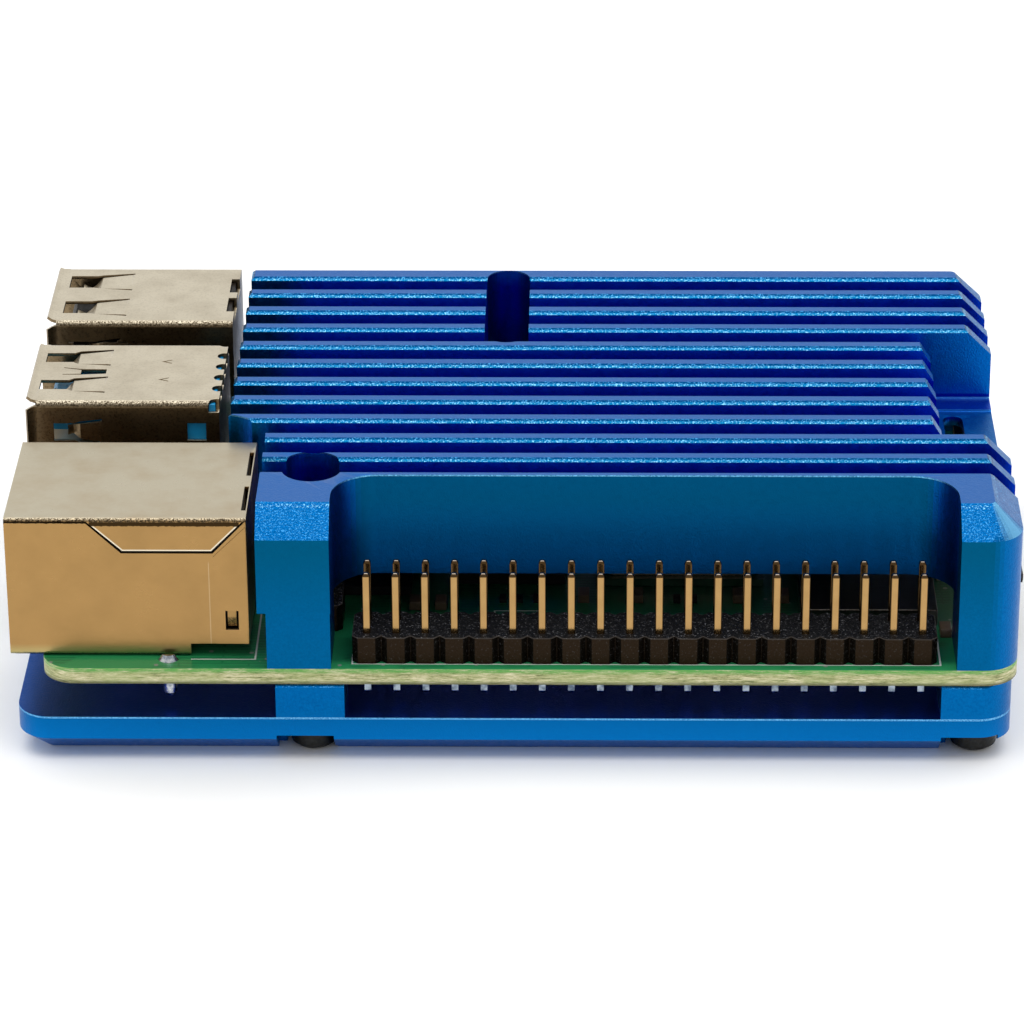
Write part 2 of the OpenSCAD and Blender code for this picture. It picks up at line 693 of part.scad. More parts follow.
// Flat contact strips on the underside of both tongues
module usb_contacts(count, pitch, x0, x1) {
  for (z = port_z, k = [0 : count - 1])
    translate([0, (k - (count - 1) / 2) * pitch, z + port_h - tongue_drop - tongue_t])
      box(x0, x1, -0.45, 0.45, -0.12, 0);
}

module fast_usb_insert() {
  color("deepskyblue") translate([0, fast_y, top_z]) usb_insert();
}

module slow_usb_insert() {
  color([0.12, 0.12, 0.13]) translate([0, slow_y, top_z]) usb_insert();
}

module fast_usb_contacts() {
  color("gold") translate([0, fast_y, top_z]) {
    usb_contacts(4, 2.3, tongue_front + 2.6, usb_front + cavity_l);
    usb_contacts(5, 1.9, tongue_front + 0.9, tongue_front + 2);
  }
}

module slow_usb_contacts() {
  color("gold") translate([0, slow_y, top_z])
    usb_contacts(4, 2.3, tongue_front + 1.2, usb_front + cavity_l);
}

// ---- Power and video sockets, on the rear edge ----

// Stadium outline that is longest along X
module stadium(w, h) {
  square([w - h, h], center = true);
  for (side = [-1, 1]) translate([side * (w - h) / 2, 0]) circle(d = h);
}

power_x = at_x(11.2);
power_w = 8.94;
power_h = 3.2;
power_l = 7.35;
power_z = top_z + power_h / 2 + 0.05;
power_y = y_rear + 1.3;

module power_socket_shell() {
  t = 0.28;
  color("silver") difference() {
    union() {
      translate([power_x, power_y, power_z]) rotate([90, 0, 0]) linear_extrude(power_l)
        stadium(power_w, power_h);
      for (side = [-1, 1], y = [power_y - 2.8, power_y - 6.2])
        box(power_x + side * (power_w / 2 - 0.1) - 0.15, power_x + side * (power_w / 2 - 0.1) + 0.15,
          y - 0.5, y + 0.5, board_z - 0.2, power_z);
    }
    translate([power_x, power_y + 1, power_z]) rotate([90, 0, 0]) linear_extrude(power_l + 1 - t)
      stadium(power_w - 2 * t, power_h - 2 * t);
  }
}

module power_socket_tongue() {
  color([0.08, 0.08, 0.09]) {
    translate([power_x, power_y - power_l + 1.7, power_z]) rotate([90, 0, 0]) linear_extrude(1.3)
      stadium(power_w - 0.66, power_h - 0.66);
    box(power_x - 3.3, power_x + 3.3, power_y - power_l + 1.6, power_y - 0.7,
      power_z - 0.32, power_z + 0.32);
  }
}

module power_socket_contacts() {
  color("gold") for (k = [0 : 11], side = [-1, 1])
    translate([power_x + (k - 5.5) * 0.5, 0, power_z + side * 0.36])
      box(-0.12, 0.12, power_y - 4.6, power_y - 1.2, -0.04, 0.04);
}

video_xs = [at_x(26), at_x(39.5)];
video_w = 6.5;
video_h = 2.95;
video_l = 7.5;
video_y = y_rear + 1.5;
video_z = top_z + 0.02;

// Mouth outline of a small video socket: a rectangle whose lower corners are cut off
module video_outline(grow) {
  w = video_w / 2 + grow;
  polygon([
    [-w, 0.9 - grow * 0.4], [-w, video_h + grow], [w, video_h + grow], [w, 0.9 - grow * 0.4],
    [w - 0.95, -grow], [0.95 - w, -grow]
  ]);
}

module video_socket_shells() {
  color("silver") for (x = video_xs) translate([x, video_y, video_z]) difference() {
    rotate([90, 0, 0]) linear_extrude(video_l) video_outline(0);
    translate([0, 1, 0]) rotate([90, 0, 0]) linear_extrude(video_l + 1 - 0.25) video_outline(-0.25);
  }
}

module video_socket_tongues() {
  color([0.08, 0.08, 0.09]) for (x = video_xs) translate([x, video_y, video_z]) {
    translate([0, 1.8 - video_l, 0]) rotate([90, 0, 0]) linear_extrude(1.5) video_outline(-0.3);
    box(-2.2, 2.2, 1.7 - video_l, -0.8, 1.25, 1.85);
  }
}

module video_socket_contacts() {
  color("gold") for (x = video_xs, k = [0 : 8], side = [-1, 1])
    translate([x + (k - 4) * 0.44, video_y, video_z + 1.55 + side * 0.34])
      box(-0.11, 0.11, -4.8, -1.2, -0.04, 0.04);
}

// ---- Audio jack ----

audio_x = at_x(54);
audio_w = 7;
audio_h = 6;
audio_l = 12.5;
audio_nose = 2.5;
audio_z = top_z + 3;

module audio_jack_body() {
  color([0.07, 0.07, 0.08]) difference() {
    union() {
      box(audio_x - audio_w / 2, audio_x + audio_w / 2, y_rear - audio_l, y_rear + 0.1,
        top_z + 0.02, top_z + audio_h);
      translate([audio_x, y_rear + audio_nose, audio_z]) rotate([90, 0, 0])
        cylinder(d = 5.9, h = audio_nose);
    }
    translate([audio_x, y_rear + audio_nose + 1, audio_z]) rotate([90, 0, 0])
      cylinder(d = audio_d, h = 14.5);
    // Hollows that hold the spring contacts
    for (y = [1.6, 4.4, 7.2, 10]) box(audio_x + 2.3, audio_x + audio_w / 2 + 1,
      y_rear - y - 1, y_rear - y + 0.6, top_z + 1.4, top_z + 4.6);
    for (y = [3, 8.6]) box(audio_x - audio_w / 2 - 1, audio_x - 2.3,
      y_rear - y - 1, y_rear - y + 0.6, top_z + 1.4, top_z + 4.6);
  }
}

module audio_jack_contacts() {
  color("silver") {
    for (y = [1.6, 4.4, 7.2, 10]) box(audio_x + 2.3, audio_x + 2.9, y_rear - y - 0.9, y_rear - y + 0.5,
      top_z + 1.5, top_z + 4.5);
    for (y = [3, 8.6]) box(audio_x - 2.9, audio_x - 2.3, y_rear - y - 0.9, y_rear - y + 0.5,
      top_z + 1.5, top_z + 4.5);
  }
}

// ---- Flat cable connectors: c = [x, y, width, length] ----

flat_n = 15;
flat_pitch = 1;
cable_x = 0.55;
cable_t = 0.5;

module flat_connector(c) {
  color("ivory") translate([c[0], c[1], top_z]) difference() {
    union() {
      box(-c[2] / 2, cable_x - cable_t, -c[3] / 2 + 0.9, c[3] / 2 - 0.9, 0.02, con_h - 0.6);
      box(-c[2] / 2, c[2] / 2, -c[3] / 2 + 0.9, c[3] / 2 - 0.9, 0.02, 1.2);
      for (side = [-1, 1])
        box(-c[2] / 2, c[2] / 2, side * (c[3] / 2 - 1.2) - 0.9, side * (c[3] / 2 - 1.2) + 0.9,
          0.02, con_wall_h);
    }
    for (k = [0 : flat_n - 1]) translate([0, (k - (flat_n - 1) / 2) * flat_pitch, 0])
      box(-c[2] / 2 + 0.4, cable_x, -0.18, 0.18, 0.6, con_h);
  }
}

module flat_contacts(c) {
  color("gold") translate([c[0], c[1], top_z]) for (k = [0 : flat_n - 1])
    translate([0, (k - (flat_n - 1) / 2) * flat_pitch, 0])
      box(-c[2] / 2 + 0.4, cable_x - cable_t, -0.13, 0.13, 0.7, con_h - 1.1);
}

// Latch: a bar across the top, a wedge behind the cable, and an arm down each end
module flat_latch(c) {
  color([0.13, 0.13, 0.14]) translate([c[0], c[1], top_z]) {
    box(cable_x + 0.25, c[2] / 2 - 0.2, -c[3] / 2 + 2.4, c[3] / 2 - 2.4, 1.5, con_h);
    box(cable_x - 0.3, c[2] / 2, -c[3] / 2, c[3] / 2, con_h - 1.2, con_h);
    for (side = [-1, 1])
      box(cable_x - 0.3, c[2] / 2, side * (c[3] / 2 - 0.7) - 0.7, side * (c[3] / 2 - 0.7) + 0.7,
        con_wall_h + 0.3, con_h);
  }
}

module camera_connector() { flat_connector(cam_con); }
module camera_contacts() { flat_contacts(cam_con); }
module camera_latch() { flat_latch(cam_con); }
module display_connector() { flat_connector(disp_con); }
module display_contacts() { flat_contacts(disp_con); }
module display_latch() { flat_latch(disp_con); }

// ---- Memory card and its socket, under the board ----

sock_x0 = x_card - 0.4 - card_sock_l;
sock_x1 = x_card - 0.4;

module card_socket_shell() {
  t = 0.15;
  w = card_sock_w / 2;
  z0 = board_z - card_sock_h;
  color("silver") difference() {
    box(sock_x0, sock_x1, -w, w, z0, board_z - 0.3);
    box(sock_x0 + 0.6, sock_x1 + 1, t - w, w - t, z0 + t, board_z);
    for (side = [-1, 1]) box(sock_x0 + 3, sock_x0 + 7, side * 3.4 - 0.6, side * 3.4 + 0.6, z0 - 1, z0 + 1);
  }
}

module card_socket_base() {
  w = card_sock_w / 2 - 0.2;
  color([0.1, 0.1, 0.11]) difference() {
    box(sock_x0 + 0.7, sock_x1 - 0.3, -w, w, board_z - 0.3, board_z - 0.02);
    for (k = [0 : 7]) box(sock_x0 + 3, sock_x0 + 8, (k - 3.5) * 1.1 - 0.3, (k - 3.5) * 1.1 + 0.3,
      board_z - 1, board_z + 1);
  }
}

module card_socket_contacts() {
  color("gold") for (k = [0 : 7])
    box(sock_x0 + 3, sock_x0 + 7.9, (k - 3.5) * 1.1 - 0.2, (k - 3.5) * 1.1 + 0.2,
      board_z - 0.28, board_z - 0.1);
}

module memory_card() {
  x1 = x_card + card_out;
  x0 = x1 - card_l;
  color([0.1, 0.1, 0.12]) {
    translate([0, 0, card_z - card_t / 2]) linear_extrude(card_t)
      polygon([
        [x0 + 1.2, -card_w / 2 + 0.7], [x0 + 6, -card_w / 2 + 0.7], [x0 + 6.8, -card_w / 2],
        [x1, -card_w / 2], [x1, card_w / 2], [x0, card_w / 2],
        [x0, -card_w / 2 + 1.9]
      ]);
    box(x1 - 1.4, x1, -card_w / 2 + 0.3, card_w / 2 - 0.3, card_z - card_t / 2 - 0.3, card_z);
  }
}

// ---- Chips and small parts ----

module processor_substrate() {
  color([0.1, 0.35, 0.2]) chip([soc[0], soc[1], soc[2], soc[3], 0.8], 0.1);
}

module processor_lid() {
  color("silver") translate([soc[0], soc[1], top_z + 0.8]) {
    linear_extrude(0.5) round_rect(-6.9, 6.9, -6.9, 6.9, 1);
    translate([0, 0, 0.4]) linear_extrude(soc[4] - 1.2) round_rect(-5.9, 5.9, -5.9, 5.9, 1);
  }
}

module memory_chip() {
  color([0.12, 0.12, 0.13]) chip(ram, 0.1);
}

module wireless_module() {
  color([0.1, 0.35, 0.2]) chip([wifi[0], wifi[1], wifi[2] - 1, wifi[3] - 1, 0.8], 0.05);
}

module wireless_can() {
  t = 0.2;
  color("silver") difference() {
    chip(wifi, 0.05);
    chip([wifi[0], wifi[1], wifi[2] - 2 * t, wifi[3] - 2 * t, wifi[4] - t], -1);
  }
}

module usb_controller() {
  color([0.12, 0.12, 0.13]) chip(usb_ic, 0.05);
}

module network_controller() {
  color([0.12, 0.12, 0.13]) chip(net_ic, 0.05);
}

module power_manager() {
  color([0.12, 0.12, 0.13]) chip(pmic, 0.05);
}

module thermal_pads() {
  color("lightblue") for (p = [soc, ram, pmic, usb_ic])
    box(p[0] - p[2] / 2 + 1, p[0] + p[2] / 2 - 1, p[1] - p[3] / 2 + 1, p[1] + p[3] / 2 - 1,
      top_z + p[4], top_z + p[4] + pad_t);
}

// Small parts as [distance from the card end, distance from the power edge]
inductor_at = [[20.5, 11.5], [24.5, 20.3], [19, 24.8], [12.3, 24.2], [63.5, 36.3]];
capacitor_at = [[9, 11], [11.5, 11], [14, 11], [33, 15], [35.5, 15], [36, 22], [40, 22], [37.8, 42.5],
  [33, 42.5], [24, 42.5], [20, 42.5], [50.8, 28], [50.8, 31], [50.8, 34], [63.5, 30], [50.5, 44],
  [52.8, 44], [24.6, 23.6], [20.6, 29.4], [6, 49], [60.6, 17.5], [57.5, 17.5]];
resistor_at = [[30.5, 12.5], [32, 12.5], [38.5, 24.2], [40, 24.2], [41.5, 24.2], [28, 42.8],
  [29.5, 42.8], [42, 42.8], [43.5, 42.8], [45, 42.8], [17.8, 35.5], [17.8, 37], [51, 24], [51, 22.5],
  [62.8, 25], [8.5, 49]];
crystal_at = [[19.5, 33], [62.5, 19.8]];

module inductors() {
  color([0.25, 0.25, 0.27]) for (p = inductor_at) translate([at_x(p[0]), at_y(p[1]), top_z + 0.05])
    linear_extrude(1.5) round_rect(-1.4, 1.4, -1.4, 1.4, 0.4);
}

module ceramic_capacitors() {
  color("tan") for (p = capacitor_at) translate([at_x(p[0]) - 0.5, at_y(p[1]) - 0.85, top_z + 0.02])
    cube([1, 1.7, 0.8]);
}

module chip_resistors() {
  color([0.1, 0.1, 0.1]) for (p = resistor_at)
    translate([at_x(p[0]) - 0.3, at_y(p[1]) - 0.55, top_z + 0.02]) cube([0.6, 1.1, 0.4]);
}

module clock_crystals() {
  color("silver") for (p = crystal_at) translate([at_x(p[0]), at_y(p[1]), top_z + 0.02])
    linear_extrude(0.8) round_rect(-1.6, 1.6, -1.25, 1.25, 0.4);
}

module status_lights() {
  color("tomato") for (d = [7.8, 11.4]) translate([at_x(1.5) - 0.4, at_y(d) - 0.8, top_z + 0.02])
    cube([0.8, 1.6, 0.6]);
}

// Cone of solder round the tail of a square pin, under the board
module tail_solder() {
  translate([0, 0, board_z - 0.9]) difference() {
    cylinder(d1 = 1, d2 = 1.7, h = 0.9);
    translate([0, 0, -1]) linear_extrude(3) square(pin_t, center = true);
  }
}

// Solder on both headers' tails, and on the network shield's legs above and below the board
module leg_solder(side) {
  y_leg = -side * sheet_t / 2;
  difference() {
    translate([0, y_leg, board_z]) {
      translate([0, 0, -1.9]) cylinder(d = 1.15, h = 1.9);
      translate([0, 0, -2.15]) cylinder(d1 = 0.9, d2 = 1.15, h = 0.25);
      translate([0, 0, -2.3]) cylinder(d1 = 0.4, d2 = 0.9, h = 0.15);
      translate([0, 0, -0.35]) cylinder(d1 = 1.1, d2 = 1.9, h = 0.35);
    }
    box(-0.35, 0.35, y_leg - sheet_t / 2, y_leg + sheet_t / 2, board_z - 1.2, top_z);
  }
  // Outer half of the fillet on top of the board
  translate([0, side * 0.3, top_z]) difference() {
    cylinder(d1 = 1.9, d2 = 1.2, h = 0.5);
    box(-2, 2, side > 0 ? -2 : -0.3, side > 0 ? -0.3 : 2, -1, 2);
  }
}
module solder_joints() {
  color("lightgray") {
    for (k = [0 : pin_n - 1], y = pin_ys) translate([pin_x0 + k * mm_inch, y, 0]) tail_solder();
    for (x = [-1, 1], y = [-1, 1])
      translate([head2_hole[0] + x * mm_inch / 2, head2_hole[1] + y * mm_inch / 2, 0]) tail_solder();
  }
  color("lightgray") for (side = [-1, 1]) translate([leg_x, net_y + side * net_w / 2, 0]) leg_solder(side);
}

// Capacitors under the processor
module underside_parts() {
  color("tan") for (i = [-2 : 2], j = [-1 : 1])
    translate([soc[0] + i * 2.4 - 0.5, soc[1] + j * 3.2 - 0.8, board_z - 0.82]) cube([1, 1.6, 0.8]);
}

base_plate();
heatsink_lid();
case_screws();
circuit_board();
header_body();
header_pins();
second_header_body();
second_header_pins();
network_shield();
network_insert();
network_contacts();
network_light_pipes();
fast_usb_shell();
fast_usb_divider();
fast_usb_insert();
fast_usb_contacts();
slow_usb_shell();
slow_usb_divider();
slow_usb_insert();
slow_usb_contacts();
power_socket_shell();
power_socket_tongue();
power_socket_contacts();
video_socket_shells();
video_socket_tongues();
video_socket_contacts();
audio_jack_body();
audio_jack_contacts();
camera_connector();
camera_contacts();
camera_latch();
display_connector();
display_contacts();
display_latch();
card_socket_shell();
card_socket_base();
card_socket_contacts();
memory_card();
processor_substrate();
processor_lid();
memory_chip();
wireless_module();
wireless_can();
usb_controller();
network_controller();
power_manager();
thermal_pads();
inductors();
ceramic_capacitors();
chip_resistors();
clock_crystals();
status_lights();
solder_joints();
underside_parts();
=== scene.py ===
"""Looks of the single board computer: materials, fine detail, light and camera."""
import math
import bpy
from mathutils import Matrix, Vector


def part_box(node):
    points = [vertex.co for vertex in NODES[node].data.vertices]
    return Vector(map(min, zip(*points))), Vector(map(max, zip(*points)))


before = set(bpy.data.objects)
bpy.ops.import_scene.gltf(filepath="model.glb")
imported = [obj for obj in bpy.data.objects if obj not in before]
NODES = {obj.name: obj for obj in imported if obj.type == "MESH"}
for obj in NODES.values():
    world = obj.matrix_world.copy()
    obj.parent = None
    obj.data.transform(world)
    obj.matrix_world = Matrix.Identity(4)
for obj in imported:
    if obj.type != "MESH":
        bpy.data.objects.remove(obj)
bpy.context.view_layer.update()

from types import SimpleNamespace

import bpy
from mathutils import Matrix, Vector

MM = 0.001
BOARD_LO, BOARD_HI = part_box("circuit_board")
LID_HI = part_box("heatsink_lid")[1]
PINS_LO, PINS_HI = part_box("header_pins")
SHIELD_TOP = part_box("network_shield")[1].z / MM

# ---- Places on the case, in millimetres ----

DECK = BOARD_HI.z / MM  # top of the circuit board
LID_TOP = LID_HI.z / MM
VALLEY = LID_TOP - 7.0  # floor of the grooves between the fins
FIN_FOOT = DECK + 7.5  # just below that floor
OVER = 60.0  # beyond the whole case
FINS_X = (-21.5, 45.0)
FINS_Y = (-19.8, 26.8)
NOTCH_X = (-17.5, 37.3)
NOTCH_Y = (-24.2, -19.9)
STEP_X = LID_HI.x / MM - 5.9  # where the short fins end
STEP_WALLS = ((11.4, 11.7), (-11.3, -11.0))  # the fin walls on either side of the step
STEP_LEDGE_Y = (9.0, 9.08)
STEP_SUNK_Y = (9.1, 11.5)
LEG_FRONTS_Y = (-40.0, -25.0)
PLATE_TOP = 4.2
PIN_INSET = 0.32  # from the end of the header pins' box to the first pin's middle
HEADER_PITCH = 2.54

# ---- Node helpers ----


class Shader:
    """A principled material and short ways to add nodes to it."""

    def __init__(self, name, color, metallic=0.0, roughness=0.5, **sockets):
        self.mat = bpy.data.materials.new(name)
        self.mat.use_nodes = True
        self.nt = self.mat.node_tree
        self.bsdf = self.nt.nodes["Principled BSDF"]
        self.set("Base Color", (*color, 1.0))
        self.set("Metallic", metallic)
        self.set("Roughness", roughness)
        for key, value in sockets.items():
            self.set(key.replace("_", " "), value)
        self.coord = self.nt.nodes.new("ShaderNodeTexCoord").outputs["Object"]

    def set(self, socket, value):
        self.bsdf.inputs[socket].default_value = value

    def link(self, a, b):
        self.nt.links.new(a, b)

    def into(self, socket, out):
        self.link(out, self.bsdf.inputs[socket])

    def node(self, kind, inputs=(), **props):
        n = self.nt.nodes.new(kind)
        for key, value in props.items():
            setattr(n, key, value)
        for key, value in dict(inputs).items():
            if hasattr(value, "links"):
                self.link(value, n.inputs[key])
            else:
                n.inputs[key].default_value = value
        return n

    def locate(self):
        """Sets x, y, z to the place on the object and nx, ny, nz to the way the face looks."""
        self.x, self.y, self.z = self.split(self.coord)
        self.nx, self.ny, self.nz = self.split(self.node("ShaderNodeNewGeometry").outputs["True Normal"])

    def split(self, vector):
        n = self.node("ShaderNodeSeparateXYZ", {"Vector": vector})
        return n.outputs["X"], n.outputs["Y"], n.outputs["Z"]

    def scaled(self, sx, sy, sz):
        n = self.node("ShaderNodeMapping", {"Vector": self.coord, "Scale": (sx, sy, sz)})
        return n.outputs["Vector"]

    def noise(self, size, detail=2.0, rough=0.5, at=None):
        """Noise whose features are about that many millimetres across."""
        n = self.node("ShaderNodeTexNoise", {
            "Vector": at or self.coord, "Scale": 1.0 / (size * MM), "Detail": detail, "Roughness": rough})
        return n.outputs["Fac"]

    def cells(self, size, at):
        n = self.node("ShaderNodeTexVoronoi", {"Vector": at, "Scale": 1.0 / (size * MM)})
        return n.outputs["Distance"]

    def ramp(self, value, *stops):
        n = self.node("ShaderNodeValToRGB", {"Fac": value})
        e = n.color_ramp.elements
        while len(e) < len(stops):
            e.new(0.5)
        for i, (pos, col) in enumerate(stops):
            e[i].position = pos
            e[i].color = (*col, 1.0)
        return n.outputs["Color"]

    def span(self, value, a, b, lo=0.0, hi=1.0):
        """Goes from lo to hi while value goes from a to b, and no further."""
        n = self.node("ShaderNodeMapRange", {"Value": value, "From Min": a, "From Max": b,
                                             "To Min": lo, "To Max": hi}, clamp=True)
        return n.outputs["Result"]

    def span_mm(self, value, a, b, lo=0.0, hi=1.0):
        return self.span(value, a * MM, b * MM, lo, hi)

    def within(self, value, lo, hi, soft=0.4):
        """1 where value lies between lo and hi millimetres, fading over soft millimetres outside."""
        return self.all(self.span_mm(value, lo - soft, lo), self.span_mm(value, hi + soft, hi))

    def math(self, op, a, b=0.0):
        return self.node("ShaderNodeMath", {0: a, 1: b}, operation=op).outputs["Value"]

    def minus(self, a, b):
        return self.math("SUBTRACT", a, b)

    def abs(self, value):
        return self.math("ABSOLUTE", value)

    def all(self, first, *others):
        """The product of masks or strengths."""
        for other in others:
            first = self.math("MULTIPLY", first, other)
        return first

    def any(self, first, *others):
        """The largest of several masks."""
        for other in others:
            first = self.math("MAXIMUM", first, other)
        return first

    def mix(self, fac, a, b):
        n = self.node("ShaderNodeMix", data_type="RGBA")
        for idx, v in ((0, fac), (6, a), (7, b)):
            if hasattr(v, "links"):
                self.link(v, n.inputs[idx])
            elif idx and len(v) == 3:
                n.inputs[idx].default_value = (*v, 1.0)
            else:
                n.inputs[idx].default_value = v
        return n.outputs[2]

    def bump(self, height, distance, strength=1.0):
        """Adds to the bumps made so far. distance is in millimetres."""
        n = self.node("ShaderNodeBump", {"Height": height, "Distance": distance * MM, "Strength": strength})
        had = self.bsdf.inputs["Normal"].links
        if had:
            self.link(had[0].from_socket, n.inputs["Normal"])
        self.link(n.outputs["Normal"], self.bsdf.inputs["Normal"])


def tinted(color, factor):
    return tuple(min(1.0, c * factor) for c in color)


# ---- The blue case ----

# Colours of the blue case. Grain, cloud, rubbed and scratch are the metal's own; the rest are painted shade,
# light, highlights and sheen.
DYE_AND_PAINTED_LIGHT = SimpleNamespace(
    grain_dark=(0.0004, 0.095, 0.30), grain_light=(0.0012, 0.145, 0.42), cloud=(0.0006, 0.11, 0.37),
    fin_wall_shade=(0.003, 0.024, 0.72), fin_wall_top_light=(0.002, 0.17, 0.92), fin_wall_end_shade=(0.0015, 0.04, 0.48),
    cross_wall_shade=(0.0012, 0.06, 0.34),
    step_wall_lit=(0.0015, 0.155, 0.57), step_shadow=(0.0006, 0.03, 0.42), step_foot_highlight=(0.30, 0.85, 0.98),
    step_ledge_highlight=(0.06, 0.42, 0.95), step_floor_shade=(0.001, 0.05, 0.55),
    notch_top_shade=(0.0005, 0.068, 0.165), notch_low_shade=(0.0012, 0.068, 0.235), leg_shade=(0.0005, 0.083, 0.175),
    plate_wall_low_light=(0.002, 0.17, 0.52), plate_wall_high_light=(0.0015, 0.125, 0.38),
    plate_deck_shade=(0.002, 0.07, 0.62), plate_deck_end_shade=(0.001, 0.06, 0.30),
    case_chamfer_shade=(0.0006, 0.09, 0.30), fin_chamfer_shade=(0.0004, 0.035, 0.12),
    fin_chamfer_foot_light=(0.0015, 0.14, 0.32), spark_glint=(0.10, 0.48, 0.90), spark_foot_glint=(0.26, 0.66, 0.94),
    corner=(0.20, 0.55, 0.85), rim_highlight=(0.18, 0.54, 0.88), fin_top_sheen=(0.022, 0.122, 0.40),
    rubbed=(0.0008, 0.09, 0.27), scratch=(0.12, 0.40, 0.68))


def beside_step(s):
    """1 on the fin walls that the step at the card end lays bare."""
    walls = s.any(*(s.within(s.y, *wall, 0.1) for wall in STEP_WALLS))
    return s.all(walls, s.span_mm(s.x, STEP_X - 1.0, STEP_X + 0.6))


def fin_walls(s, col):
    """Painted shade on the fin walls: navy between the fins, painted light near their tops, darker at the
    card end, and dark on the walls that face along the lid's length.
    """
    fins = s.all(s.within(s.z, FIN_FOOT, OVER), s.within(s.y, *FINS_Y), s.within(s.x, *FINS_X, 3.0))
    fins = s.all(fins, s.minus(1.0, beside_step(s)))
    ends = s.all(s.sideways, s.within(s.x, -26.0, 37.5), s.within(s.z, DECK, OVER))
    walls = s.mix(s.span_mm(s.z, LID_TOP - 1.7, LID_TOP - 0.4), DYE_AND_PAINTED_LIGHT.fin_wall_shade, DYE_AND_PAINTED_LIGHT.fin_wall_top_light)
    walls = s.mix(s.span_mm(s.x, 37.5, 41.0), walls, DYE_AND_PAINTED_LIGHT.fin_wall_end_shade)
    walls = s.mix(s.sideways, walls, DYE_AND_PAINTED_LIGHT.cross_wall_shade)
    return s.mix(s.all(s.any(fins, ends), s.upright), col, walls)


def step_walls(s, col):
    """Painted light on the step's walls, with a painted highlight along the foot and a painted shadow line
    over it.
    """
    bare = s.all(beside_step(s), s.within(s.z, FIN_FOOT, OVER), s.upright)
    wall = s.mix(s.within(s.z, VALLEY + 0.22, VALLEY + 0.5, 0.05), DYE_AND_PAINTED_LIGHT.step_wall_lit, DYE_AND_PAINTED_LIGHT.step_shadow)
    wall = s.mix(s.within(s.z, VALLEY, VALLEY + 0.16, 0.03), wall, DYE_AND_PAINTED_LIGHT.step_foot_highlight)
    return s.mix(bare, col, wall)


def header_notch(s, col):
    """Painted shade on the wall behind the long header, teal at the top and bluer low down."""
    lengthways = s.span(s.sideways, 0.7, 0.1)
    notch = s.all(s.within(s.y, *NOTCH_Y, 0.2), s.within(s.x, *NOTCH_X, 0.1), s.upright, lengthways)
    low = s.span_mm(s.z, DECK + 12.5, DECK + 6.0)
    return s.mix(notch, col, s.mix(low, DYE_AND_PAINTED_LIGHT.notch_top_shade, DYE_AND_PAINTED_LIGHT.notch_low_shade))


def lid_legs(s, col):
    """Painted shade on the fronts of the lid's legs, darker towards the top."""
    legs = s.all(s.within(s.y, *LEG_FRONTS_Y, 0.2), s.within(s.z, DECK - 0.5, DECK + 14),
                 s.upright, s.span(s.nx, 0.5, 0.1))
    high = s.span_mm(s.z, DECK + 4.0, DECK + 11.0)
    return s.mix(s.all(legs, s.span(high, 0.0, 1.0, 0.55, 0.95)), col, DYE_AND_PAINTED_LIGHT.leg_shade)


def plate(s, col):
    """Painted light on the base plate's walls and painted shade on its navy deck."""
    walls = s.all(s.span_mm(s.z, PLATE_TOP + 0.8, PLATE_TOP - 0.3), s.span(s.nz, 0.5, 0.2))
    col = s.mix(walls, col, s.mix(s.span_mm(s.z, 1.4, 4.0), DYE_AND_PAINTED_LIGHT.plate_wall_low_light, DYE_AND_PAINTED_LIGHT.plate_wall_high_light))
    deck = s.all(s.span_mm(s.z, PLATE_TOP + 0.8, PLATE_TOP + 0.2), s.span(s.nz, 0.85, 0.95))
    return s.mix(deck, col, s.mix(s.span_mm(s.x, -36.0, -40.0), DYE_AND_PAINTED_LIGHT.plate_deck_shade, DYE_AND_PAINTED_LIGHT.plate_deck_end_shade))


def chamfers(s, col):
    """Painted glints from the blasted grain on the chamfers, painted shade on them, and a painted highlight
    on the corner at the card end.
    """
    tilted = s.all(s.span(s.nz, 0.3, 0.5), s.span(s.nz, 0.985, 0.94))
    foot = s.within(s.z, LID_TOP - 0.36, LID_TOP - 0.17, 0.04)
    on_fins = s.all(s.within(s.y, -19.9, OVER, 0.1), s.within(s.z, LID_TOP - 0.4, LID_TOP))
    shade = s.mix(foot, DYE_AND_PAINTED_LIGHT.fin_chamfer_shade, DYE_AND_PAINTED_LIGHT.fin_chamfer_foot_light)
    shade = s.mix(on_fins, DYE_AND_PAINTED_LIGHT.case_chamfer_shade, shade)
    col = s.mix(s.all(tilted, s.span(on_fins, 0.0, 1.0, 0.5, 0.88)), col, shade)
    spark_glints = s.all(s.span(s.glitter, 0.53, 0.64), tilted, s.span(foot, 0.0, 1.0, 0.5, 0.9))
    col = s.mix(spark_glints, col, s.mix(foot, DYE_AND_PAINTED_LIGHT.spark_glint, DYE_AND_PAINTED_LIGHT.spark_foot_glint))
    corner = s.all(s.span(s.nx, 0.25, 0.5), s.span(s.ny, -0.1, -0.3), tilted,
                   s.within(s.z, LID_TOP - 4.0, LID_TOP, 0.2))
    return s.mix(s.all(corner, 0.75), col, DYE_AND_PAINTED_LIGHT.corner)


def rim_highlights(s, col):
    """Painted highlights: sparkling lines along the top edges of the upright walls."""
    lid = s.all(s.within(s.z, LID_TOP - 0.12, LID_TOP, 0.03), s.upright)
    base = s.all(s.within(s.z, PLATE_TOP - 0.16, PLATE_TOP + 0.01, 0.02), s.span(s.nz, 0.985, 0.95))
    rim_highlight = s.all(s.any(lid, base), s.span(s.glitter, 0.42, 0.58, 0.25, 1.0))
    return s.mix(s.all(rim_highlight, 0.85), col, DYE_AND_PAINTED_LIGHT.rim_highlight)


